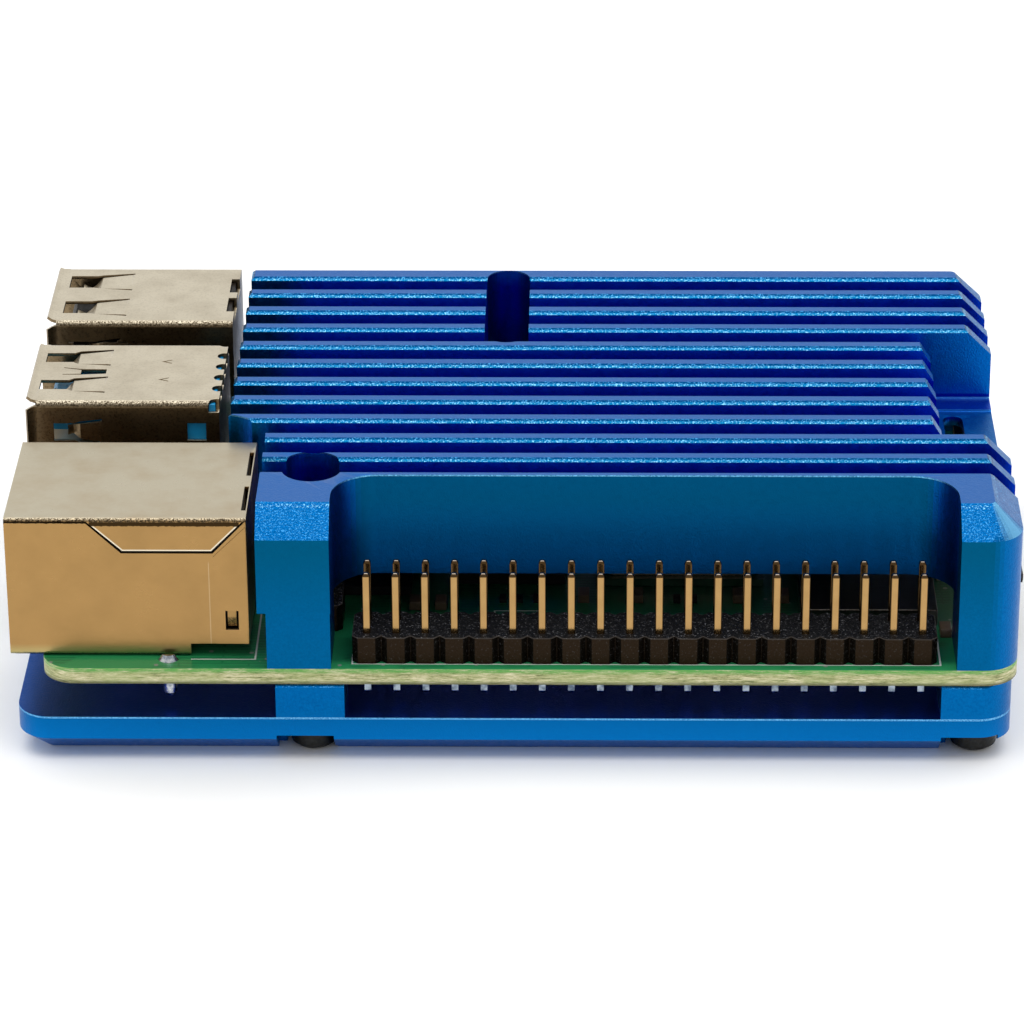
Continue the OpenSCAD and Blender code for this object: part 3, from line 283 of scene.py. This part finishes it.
def underside(s, col):
    """Faint rubbed patches and fine scratches on the underside."""
    under = s.span(s.nz, -0.9, -0.99)
    rubbed = s.span(s.noise(16.0, 4.0, 0.65), 0.42, 0.62, 0.0, 0.22)
    scratch = s.span(s.noise(0.5, at=s.scaled(0.05, 1.0, 1.0)), 0.63, 0.68)
    scratch = s.all(scratch, s.span(s.noise(11.0), 0.5, 0.58))
    col = s.mix(s.all(under, rubbed), col, DYE_AND_PAINTED_LIGHT.rubbed)
    return s.mix(s.all(under, scratch, 0.22), col, DYE_AND_PAINTED_LIGHT.scratch)


def level_tops(s, col):
    """Painted sheen on the level tops of the fins, painted shade on the sunken floor of the step and a
    painted highlight on its ledge.
    """
    tops = s.all(s.span(s.nz, 0.985, 0.998), s.span_mm(s.z, LID_TOP - 0.1, LID_TOP - 0.04), 0.8)
    col = s.mix(tops, col, DYE_AND_PAINTED_LIGHT.fin_top_sheen)
    in_step = s.span_mm(s.x, STEP_X - 0.2, STEP_X + 0.2)
    ledge = s.all(s.within(s.y, *STEP_LEDGE_Y, 0.02), in_step,
                  s.within(s.z, VALLEY - 0.2, VALLEY + 0.01, 0.01))
    col = s.mix(s.all(ledge, 0.8), col, DYE_AND_PAINTED_LIGHT.step_ledge_highlight)
    sunk = s.all(s.within(s.y, *STEP_SUNK_Y, 0.05), in_step,
                 s.within(s.z, VALLEY - 0.05, VALLEY + 0.02, 0.05))
    return s.mix(s.all(sunk, s.span(s.nz, 0.9, 0.98, 0.0, 0.7)), col, DYE_AND_PAINTED_LIGHT.step_floor_shade)


def blasted_blue():
    """Blasted and dyed aluminium. Painted shade, light and highlights in its colour follow the place on the
    case and the way a face looks.
    """
    s = Shader("blue_anodised_blasted", (0.0008, 0.125, 0.36), 1.0, 0.4, Specular_Tint=(0.9, 0.92, 1.0, 1.0))
    s.locate()
    s.upright = s.span(s.abs(s.nz), 0.5, 0.2)
    s.sideways = s.span(s.abs(s.nx), 0.35, 0.85)
    s.glitter = s.noise(0.14, 2.0, 0.8)
    col = s.mix(s.span(s.noise(0.22, 3.0, 0.7), 0.3, 0.7), DYE_AND_PAINTED_LIGHT.grain_dark, DYE_AND_PAINTED_LIGHT.grain_light)
    col = s.mix(s.span(s.noise(9.0, 3.0, 0.6), 0.35, 0.65, 0.0, 0.35), col, DYE_AND_PAINTED_LIGHT.cloud)
    for area_of_case in (fin_walls, step_walls, header_notch, lid_legs, plate, chamfers, rim_highlights,
                         underside, level_tops):
        col = area_of_case(s, col)
    s.into("Base Color", col)
    s.into("Roughness", s.span(s.noise(0.5), 0.3, 0.7, 0.30, 0.40))
    s.bump(s.noise(0.16, 2.0, 0.6), 0.035, 0.8)
    s.bump(s.noise(0.45), 0.02, 0.25)
    return s.mat


# ---- Metal parts ----


def seams(s, col):
    """The network socket's seams: dark lines below the bend, painted highlights round the folded flap and
    along the lapped edge, and a painted greenish reflection low on the front.
    """
    top = SHIELD_TOP
    flap_left, flap_right, flap_foot = -38.15, -24.75, top - 3.05
    left_x, left_z = 0.678, 0.735  # the flap's slanting ends, as directions across them
    right_x, right_z = 0.716, 0.698
    front = s.span(s.abs(s.ny), 0.6, 0.9)
    ragged = s.math("ADD", s.z, s.span(s.noise(0.3, 3.0, 0.7), 0.3, 0.7, -0.05 * MM, 0.05 * MM))
    left = s.all(s.within(ragged, top - 0.42, top - 0.27, 0.03),
                 s.span_mm(s.x, flap_left + 0.05, flap_left - 0.05))
    over = s.all(s.within(ragged, top - 0.66, top - 0.30, 0.05), s.within(s.x, -37.9, -25.0, 0.05))
    # Painted reflection of the green board, low on the front
    low = s.span_mm(s.z, DECK + 1.2, DECK + 0.2)
    col = s.mix(s.all(low, front, 0.5), col, (0.50, 0.52, 0.24))
    col = s.mix(s.all(s.any(left, s.all(over, 0.92)), front), col, (0.010, 0.005, 0.002))
    # How far a point is inside the flap, as the nearest of its two slanting ends and its foot
    rise = s.minus(s.z, (top - 0.28) * MM)
    slant_left = s.math("ADD", s.all(s.minus(s.x, flap_left * MM), left_x), s.all(rise, left_z))
    slant_right = s.math("ADD", s.all(s.minus(flap_right * MM, s.x), right_x), s.all(rise, right_z))
    inset = s.math("MINIMUM", s.math("MINIMUM", slant_left, slant_right), s.minus(s.z, flap_foot * MM))
    # Painted highlights along the flap's edges
    edge = s.all(s.within(inset, 0.0, 0.1, 0.04), s.span_mm(s.z, top - 0.66, top - 0.75))
    col = s.mix(s.all(edge, front, 0.8), col, (0.85, 0.78, 0.62))
    # Painted highlight along the lapped sheet edge
    lap = s.all(s.within(s.x, -27.75, -27.70, 0.03), s.span_mm(s.z, top - 4.0, top - 4.3))
    return s.mix(s.all(lap, front, 0.25), col, (0.75, 0.62, 0.42))


def nickel(name="nickel_plated_sheet", top=(0.60, 0.54, 0.42), side=(0.60, 0.50, 0.36), speckle=0.0,
           flap=False):
    """Plated sheet: top is its colour on level faces and side on upright ones, where a darker side is painted
    shade.
    """
    s = Shader(name, top, 1.0, 0.3)
    s.locate()
    level = s.span(s.abs(s.nz), 0.35, 0.9)
    if flap:
        level = s.any(level, s.span(s.abs(s.nx), 0.5, 0.8))
    smudge = s.noise(3.5, 4.0, 0.6)
    rolled = s.noise(0.25, 2.0, 0.6, at=s.scaled(0.3, 1.0, 1.0))
    col = s.mix(level, side, top)
    col = s.mix(s.span(smudge, 0.4, 0.75, 0.0, 0.3), col, tinted(side, 0.75))
    # Dark flecks along the bends
    bend = s.all(s.span(s.abs(s.nz), 0.15, 0.35), s.span(s.abs(s.nz), 0.99, 0.9),
                 s.span(s.abs(s.ny), 0.1, 0.25))
    bend_flecks = s.span(s.noise(0.14, 2.0, 0.8), 0.44, 0.54)
    col = s.mix(s.all(bend, bend_flecks), col, (0.05, 0.035, 0.02))
    if speckle:
        flecks = s.span(s.noise(0.22, 2.0, 0.7), 0.52, 0.62, 0.0, speckle)
        flecks = s.all(flecks, s.span(level, 0.0, 1.0, 1.0, 0.25))
        col = s.mix(flecks, col, tinted(side, 0.3))
        # Painted shade on the faces towards the card end
        col = s.mix(s.span(s.nx, 0.5, 0.8), col, (0.035, 0.028, 0.02))
    if flap:
        col = seams(s, col)
    s.into("Base Color", col)
    s.into("Roughness", s.span(s.math("ADD", rolled, smudge), 0.7, 1.3, 0.27, 0.38))
    s.bump(rolled, 0.006, 0.3)
    s.bump(s.noise(0.15), 0.01, 0.4)
    return s.mat


def pin_shade_and_tin(s, col):
    """Painted shade on the header pins' rolled corners, bevelled tips and rear row, a painted highlight on
    their crowns, and tinned tails.
    """
    s.locate()
    first = PINS_LO.x / MM + PIN_INSET
    along = s.minus(s.x, (first - HEADER_PITCH / 2) * MM)
    cell = s.math("FRACT", s.math("DIVIDE", along, HEADER_PITCH * MM))
    off = s.abs(s.minus(cell, 0.5))
    tip_z = PINS_HI.z / MM
    corner = s.all(s.span(off, 0.23 / HEADER_PITCH, 0.29 / HEADER_PITCH), 0.92)
    tip = s.all(s.span_mm(s.z, tip_z - 0.34, tip_z - 0.28), 0.85)
    rear_row = s.all(s.span_mm(s.y, -24.6, -24.4), 0.75)
    crown = s.span_mm(s.z, tip_z - 0.07, tip_z - 0.03)
    # Painted shade on corners, tips and the rear row, and a painted highlight on the crowns
    dark = s.all(s.any(corner, tip, rear_row), s.span(crown, 0.0, 1.0, 1.0, 0.25))
    col = s.mix(dark, col, (0.035, 0.018, 0.008))
    col = s.mix(s.all(crown, 0.7), col, (0.24, 0.24, 0.24))
    tails = s.span(s.z, BOARD_LO.z + 0.1 * MM, BOARD_LO.z - 0.1 * MM)
    tinned = s.mix(s.span(s.noise(0.6), 0.35, 0.65), (0.10, 0.13, 0.18), (0.34, 0.40, 0.46))
    return s.mix(tails, col, tinned)


def gold(header=False):
    """Gold plate with fine draw marks, and painted shade and highlights on the long header's pins."""
    name = "gold_plated_header" if header else "gold_plated_contact"
    s = Shader(name, (0.72, 0.50, 0.24), 1.0, 0.25)
    draw = s.noise(0.1, 3.0, 0.6, at=s.scaled(1.0, 1.0, 0.08))
    col = s.mix(s.noise(1.3), (0.47, 0.29, 0.115), (0.36, 0.215, 0.08))
    if header:
        col = pin_shade_and_tin(s, col)
    s.into("Base Color", col)
    s.into("Roughness", s.span(draw, 0.3, 0.7, 0.12, 0.24))
    s.bump(draw, 0.008, 0.4)
    return s.mat


def tin():
    s = Shader("tinned_solder", (0.62, 0.64, 0.67), 1.0, 0.28)
    s.into("Roughness", s.span(s.noise(0.4, 3.0), 0.3, 0.7, 0.14, 0.36))
    s.into("Base Color", s.mix(s.span(s.noise(0.5, 3.0), 0.38, 0.62), (0.27, 0.30, 0.35), (0.62, 0.64, 0.66)))
    s.bump(s.noise(0.45), 0.05, 0.5)
    return s.mat


def black_steel():
    s = Shader("black_oxide_steel", (0.09, 0.09, 0.092), 1.0, 0.4)
    s.into("Base Color", s.mix(s.noise(0.35, 3.0, 0.7), (0.012, 0.012, 0.012), (0.055, 0.055, 0.053)))
    s.into("Roughness", s.span(s.noise(0.2), 0.3, 0.7, 0.34, 0.55))
    s.bump(s.noise(0.2, 3.0, 0.7), 0.05, 0.6)
    return s.mat


# ---- Plastics, board and small parts ----


def moulded(name, color, rough=0.45, grain=0.18, **sockets):
    s = Shader(name, color, 0.0, rough, **sockets)
    fine = s.noise(grain, 3.0, 0.6)
    light = tuple(min(1.0, c * 1.25 + 0.004) for c in color)
    s.into("Base Color", s.mix(s.span(s.noise(2.5, 3.0), 0.3, 0.7), tinted(color, 0.75), light))
    s.into("Roughness", s.span(fine, 0.3, 0.7, rough - 0.08, rough + 0.1))
    s.bump(fine, 0.02, 0.45)
    return s.mat


def header_plastic():
    """Glossy black moulding with painted glints as bright specks on its top."""
    s = Shader("moulded_header", (0.012, 0.007, 0.003), 0.0, 0.28, Specular_IOR_Level=0.035)
    s.locate()
    specks = s.all(s.span(s.noise(0.2, 3.0, 0.8), 0.6, 0.68), s.span(s.nz, 0.6, 0.8, 0.15, 1.0))
    col = s.mix(s.noise(2.0), (0.007, 0.004, 0.0022), (0.016, 0.010, 0.006))
    # Painted light on the cell fronts, painted shade on the bevels between cells, painted highlights along
    # the top edges
    col = s.mix(s.span(s.ny, -0.9, -0.99), col, (0.022, 0.013, 0.0065))
    col = s.mix(s.span(s.abs(s.nx), 0.3, 0.5), col, (0.003, 0.002, 0.0012))
    top_edge_highlight = s.all(s.span(s.nz, 0.2, 0.4), s.span(s.nz, 0.97, 0.9), 0.7)
    col = s.mix(top_edge_highlight, col, (0.07, 0.062, 0.055))
    col = s.mix(s.span(s.nz, 0.9, 0.99), col, (0.0085, 0.0085, 0.009))
    s.into("Base Color", s.mix(specks, col, (0.26, 0.26, 0.27)))
    s.into("Roughness", s.span(s.noise(0.3), 0.3, 0.7, 0.2, 0.4))
    s.bump(s.noise(0.2, 3.0, 0.8), 0.05, 0.8)
    return s.mat


# Printed outlines round the fittings: x0, x1, y0, y1 in millimetres from the board's centre
PRINTED = ((-15.4, 35.7, -27.04, -21.96), (-44.0, -24.2, -8.7, 5.7), (-44.0, -24.2, 9.3, 23.8),
           (-3.2, 1.0, -19.6, -16.8), (11.0, 12.6, -20.7, -17.9), (-29.9, -23.9, -26.24, -10.0))
INK_WIDTH = 0.16


def outline(s, x0, x1, y0, y1):
    """1 on the line of a printed rectangle."""
    dx = s.minus(s.abs(s.minus(s.x, (x0 + x1) / 2 * MM)), (x1 - x0) / 2 * MM)
    dy = s.minus(s.abs(s.minus(s.y, (y0 + y1) / 2 * MM)), (y1 - y0) / 2 * MM)
    return s.math("LESS_THAN", s.abs(s.any(dx, dy)), INK_WIDTH / 2 * MM)


def printed_ink(s):
    """The printed outlines on the board's top, but none under the network socket."""
    ink = s.any(0.0, *(outline(s, *box) for box in PRINTED))
    top = s.math("GREATER_THAN", s.z, (BOARD_LO.z + BOARD_HI.z) / 2)
    socket = s.all(s.math("LESS_THAN", s.x, -29.5 * MM), s.math("LESS_THAN", s.y, -9.5 * MM))
    return s.all(ink, top, s.minus(1.0, socket))


def glass_fibre(s):
    """The board's cut edge: pale layers, green at the top and dark at the bottom."""
    layers = s.noise(0.3, 4.0, 0.8, at=s.scaled(0.22, 0.22, 2.0))
    patches = s.span(s.noise(5.0, 2.0, 0.6), 0.45, 0.6, 0.0, 0.35)
    edge = s.ramp(layers, (0.34, (0.10, 0.12, 0.035)), (0.46, (0.38, 0.39, 0.16)), (0.66, (0.78, 0.72, 0.47)))
    edge = s.mix(patches, edge, (0.30, 0.40, 0.12))
    upper = s.span(s.z, BOARD_HI.z - 0.55 * MM, BOARD_HI.z - 0.2 * MM)
    edge = s.mix(s.all(upper, s.span(layers, 0.7, 0.45)), edge, (0.10, 0.36, 0.06))
    lower = s.span(s.z, BOARD_LO.z + 0.35 * MM, BOARD_LO.z + 0.1 * MM)
    return s.mix(s.all(lower, 0.75), edge, (0.045, 0.05, 0.012))


def laminate():
    """Green solder mask on both faces with faint copper below it, and cut glass fibre on the edges."""
    s = Shader("board_solder_mask", (0.01, 0.09, 0.045), 0.0, 0.3, Coat_Weight=0.35, Coat_Roughness=0.12)
    s.locate()
    flat = s.math("GREATER_THAN", s.abs(s.nz), 0.7)
    tracks = s.node("ShaderNodeTexBrick", {
        "Vector": s.coord, "Scale": 1.0, "Mortar Size": 0.1 * MM, "Mortar Smooth": 0.2,
        "Brick Width": 6.1 * MM, "Row Height": 0.52 * MM, "Color1": (1, 1, 1, 1),
        "Color2": (0.6, 0.6, 0.6, 1), "Mortar": (0, 0, 0, 1)}, offset=0.37, squash=1.3).outputs["Color"]
    face = s.scaled(1.0, 1.0, 0.0)
    pours = s.span(s.noise(7.0, 1.0, at=face), 0.47, 0.5)
    copper = s.mix(pours, tracks, (1.0, 1.0, 1.0))
    mask = s.mix(copper, (0.004, 0.085, 0.035), (0.009, 0.14, 0.055))
    mask = s.mix(s.span(s.noise(20.0), 0.3, 0.7, 0.0, 0.4), mask, (0.004, 0.07, 0.03))
    # Painted light: brighter where the board sticks out of the case
    lit_outside_case = s.any(s.span_mm(s.x, -16.0, -24.0), s.span_mm(s.y, -26.2, -27.0))
    mask = s.mix(lit_outside_case, mask, s.mix(copper, (0.012, 0.17, 0.06), (0.022, 0.25, 0.085)))
    vias = s.math("LESS_THAN", s.cells(2.1, face), 0.1)
    mask = s.mix(vias, mask, (0.20, 0.24, 0.20))
    ink = printed_ink(s)
    mask = s.mix(ink, mask, (0.62, 0.66, 0.60))
    s.into("Base Color", s.mix(flat, glass_fibre(s), mask))
    s.into("Roughness", s.span(flat, 0.0, 1.0, 0.75, 0.28))
    s.bump(copper, 0.03, 0.35)
    s.bump(ink, 0.02, 0.5)
    s.bump(s.noise(0.25, 3.0), 0.02, 0.3)
    return s.mat


def silicone():
    s = Shader("silicone_pad", (0.30, 0.36, 0.48), 0.0, 0.7, Sheen_Weight=0.2)
    s.into("Base Color", s.mix(s.noise(0.3, 3.0), (0.26, 0.31, 0.42), (0.34, 0.40, 0.52)))
    s.bump(s.noise(0.2), 0.05, 0.5)
    return s.mat


def ceramic():
    s = Shader("capacitor_ceramic", (0.35, 0.24, 0.14), 0.0, 0.4)
    # Painted shade: the ceramic is darkened to a deep brown
    s.into("Base Color", s.mix(s.noise(0.4), (0.07, 0.045, 0.025), (0.12, 0.08, 0.048)))
    s.bump(s.noise(0.15), 0.02, 0.4)
    return s.mat


def lens(name, color):
    s = Shader(name, color, 0.0, 0.18, Transmission_Weight=0.55, IOR=1.5)
    s.into("Base Color", s.mix(s.noise(0.8), color, tinted(color, 1.3)))
    s.bump(s.noise(0.4), 0.01, 0.4)
    return s.mat


# ---- Which node gets which material ----

LOOKS = (
    (blasted_blue(), ["base_plate", "heatsink_lid"]),
    (nickel(), ["fast_usb_divider", "slow_usb_divider", "power_socket_shell", "video_socket_shells",
                "audio_jack_contacts", "card_socket_shell", "processor_lid", "clock_crystals"]),
    # Painted shade: the can's sheet is darkened to near black
    (nickel("can_sheet_painted_shade", (0.14, 0.13, 0.12), (0.12, 0.11, 0.10)), ["wireless_can"]),
    (nickel("shield_sheet", (0.47, 0.42, 0.31), (0.38, 0.225, 0.082), flap=True), ["network_shield"]),
    (nickel("usb_sheet", (0.56, 0.50, 0.38), (0.22, 0.16, 0.09), 0.5), ["fast_usb_shell", "slow_usb_shell"]),
    (gold(), ["second_header_pins", "network_contacts", "fast_usb_contacts", "slow_usb_contacts",
              "power_socket_contacts", "video_socket_contacts", "camera_contacts", "display_contacts",
              "card_socket_contacts"]),
    (gold(header=True), ["header_pins"]),
    (tin(), ["solder_joints"]),
    (moulded("moulded_black", (0.007, 0.0045, 0.0028), 0.34, Specular_IOR_Level=0.12),
     ["network_insert", "slow_usb_insert", "power_socket_tongue", "video_socket_tongues", "audio_jack_body",
      "camera_latch", "display_latch", "card_socket_base", "memory_card"]),
    (header_plastic(), ["header_body", "second_header_body"]),
    (moulded("moulded_chip_resin", (0.008, 0.008, 0.0085), 0.55, 0.1, Specular_IOR_Level=0.2),
     ["wireless_module", "memory_chip", "usb_controller", "network_controller", "power_manager",
      "inductors", "chip_resistors"]),
    (moulded("moulded_blue", (0.004, 0.24, 0.50), 0.38), ["fast_usb_insert"]),
    (moulded("moulded_ivory", (0.55, 0.49, 0.36), 0.5), ["camera_connector", "display_connector"]),
    (black_steel(), ["case_screws"]),
    (laminate(), ["circuit_board"]),
    (moulded("substrate_green", (0.004, 0.045, 0.02), 0.4), ["processor_substrate"]),
    (silicone(), ["thermal_pads"]),
    (ceramic(), ["ceramic_capacitors", "underside_parts"]),
    (lens("light_pipe", (0.75, 0.9, 0.78)), ["network_light_pipes"]),
    (lens("light_lens", (0.8, 0.12, 0.03)), ["status_lights"]),
)

# Nodes by the width in millimetres of the rounding on their sharp edges
ROUNDING = {
    0.03: ["circuit_board"],
    0.04: ["chip_resistors", "power_socket_shell", "video_socket_shells"],
    0.05: ["fast_usb_shell", "slow_usb_shell", "header_pins", "second_header_pins", "memory_chip",
           "usb_controller", "network_controller", "power_manager"],
    0.06: ["camera_connector", "display_connector", "memory_card", "processor_lid", "ceramic_capacitors"],
    0.07: ["network_shield"],
    0.08: ["header_body", "second_header_body", "network_insert", "fast_usb_insert", "slow_usb_insert",
           "camera_latch", "display_latch"],
    0.09: ["heatsink_lid"],
    0.1: ["audio_jack_body", "wireless_can", "inductors", "thermal_pads"],
    0.12: ["case_screws"],
    0.15: ["base_plate"],
}
# Nodes with holes in their flat faces, which can't be merged into one
PIERCED = {"network_shield", "fast_usb_shell", "slow_usb_shell", "base_plate", "heatsink_lid"}


def round_edges(o, width, merge):
    """Joins the faces of an imported solid, merges flat ones and rounds its sharp edges."""
    for p in o.data.polygons:
        p.use_smooth = True
    weld = o.modifiers.new("weld", "WELD")
    weld.merge_threshold = 0.002 * MM
    if merge:
        flat = o.modifiers.new("merge_flat", "DECIMATE")
        flat.decimate_type = "DISSOLVE"
        flat.angle_limit = math.radians(0.6)
    bevel = o.modifiers.new("rounding", "BEVEL")
    bevel.width = width * MM
    bevel.segments = 2
    bevel.limit_method = "ANGLE"
    bevel.angle_limit = math.radians(28)
    bevel.use_clamp_overlap = True
    bevel.miter_outer = "MITER_ARC"
    even = o.modifiers.new("even_shading", "WEIGHTED_NORMAL")
    even.mode = "FACE_AREA"
    even.weight = 100


for material, names in LOOKS:
    for name in names:
        NODES[name].data.materials.clear()
        NODES[name].data.materials.append(material)

for width, names in ROUNDING.items():
    for name in names:
        round_edges(NODES[name], width, merge=name not in PIERCED)

# ---- Stage ----

FLOOR_HALF = 2.0
FLOOR_Z = -0.02 * MM  # just below the base plate, so that the two faces don't coincide


def pale_floor():
    s = Shader("pale_floor", (0.92, 0.92, 0.92), 0.0, 0.8)
    s.into("Base Color", s.mix(s.noise(60.0), (0.91, 0.91, 0.91), (0.93, 0.93, 0.93)))
    me = bpy.data.meshes.new("floor")
    corners = [(x * FLOOR_HALF, y * FLOOR_HALF, FLOOR_Z) for x, y in ((-1, -1), (1, -1), (1, 1), (-1, 1))]
    me.from_pydata(corners, [], [(0, 1, 2, 3)])
    me.materials.append(s.mat)
    o = bpy.data.objects.new("floor", me)
    bpy.context.scene.collection.objects.link(o)


def studio():
    """A white surround that is dimmer on the camera's side and brighter behind the object."""
    world = bpy.data.worlds.new("studio")
    world.use_nodes = True
    nodes, links = world.node_tree.nodes, world.node_tree.links
    background = nodes["Background"]
    background.inputs["Color"].default_value = (1.0, 1.0, 1.0, 1.0)
    split = nodes.new("ShaderNodeSeparateXYZ")
    links.new(nodes.new("ShaderNodeTexCoord").outputs["Generated"], split.inputs["Vector"])
    strength = nodes.new("ShaderNodeMapRange")
    links.new(split.outputs["Y"], strength.inputs["Value"])
    for key, value in (("From Min", -1.0), ("From Max", 1.0), ("To Min", 0.6), ("To Max", 1.1)):
        strength.inputs[key].default_value = value
    links.new(strength.outputs["Result"], background.inputs["Strength"])
    bpy.context.scene.world = world


def overhead(height, size, power):
    """A soft rectangular light that looks straight down."""
    light = bpy.data.lights.new("overhead", "AREA")
    light.shape = "RECTANGLE"
    light.size, light.size_y = size
    light.energy = power
    o = bpy.data.objects.new("overhead", light)
    o.location = (0.0, 0.0, height)
    o.rotation_euler = Vector((0.0, 0.0, -1.0)).to_track_quat("-Z", "Y").to_euler()
    bpy.context.scene.collection.objects.link(o)


pale_floor()
studio()
overhead(0.5, (0.7, 0.56), 2.2)

# ---- Camera ----

YAW, PITCH, ROLL = 0.0185, 0.4510, -0.0057  # in radians
EYE = (5.2917, -390.1259, 190.5775)  # in millimetres from the middle of the board's top
SENSOR = 36.0
FOCAL = 4.6054492  # focal length over the sensor's width


def turn(angle, fixed):
    """The matrix of a turn about the axis with that index."""
    a, b = (i for i in range(3) if i != fixed)
    m = Matrix.Identity(3)
    m[a][a] = m[b][b] = math.cos(angle)
    m[a][b] = -math.sin(angle)
    m[b][a] = math.sin(angle)
    return m


def camera():
    cam = bpy.data.cameras.new("camera")
    cam.sensor_width = SENSOR
    cam.lens = FOCAL * SENSOR
    cam.clip_start, cam.clip_end = 0.01, 10.0
    right, ahead, up = turn(-ROLL, 1) @ turn(PITCH, 0) @ turn(-YAW, 2)
    m = Matrix((right, up, -ahead)).transposed().to_4x4()
    m.translation = Vector(EYE) * MM + Vector((0, 0, BOARD_HI.z))
    o = bpy.data.objects.new("camera", cam)
    o.matrix_world = m
    bpy.context.scene.collection.objects.link(o)
    bpy.context.scene.camera = o


camera()
bpy.context.scene.view_settings.view_transform = "Standard"
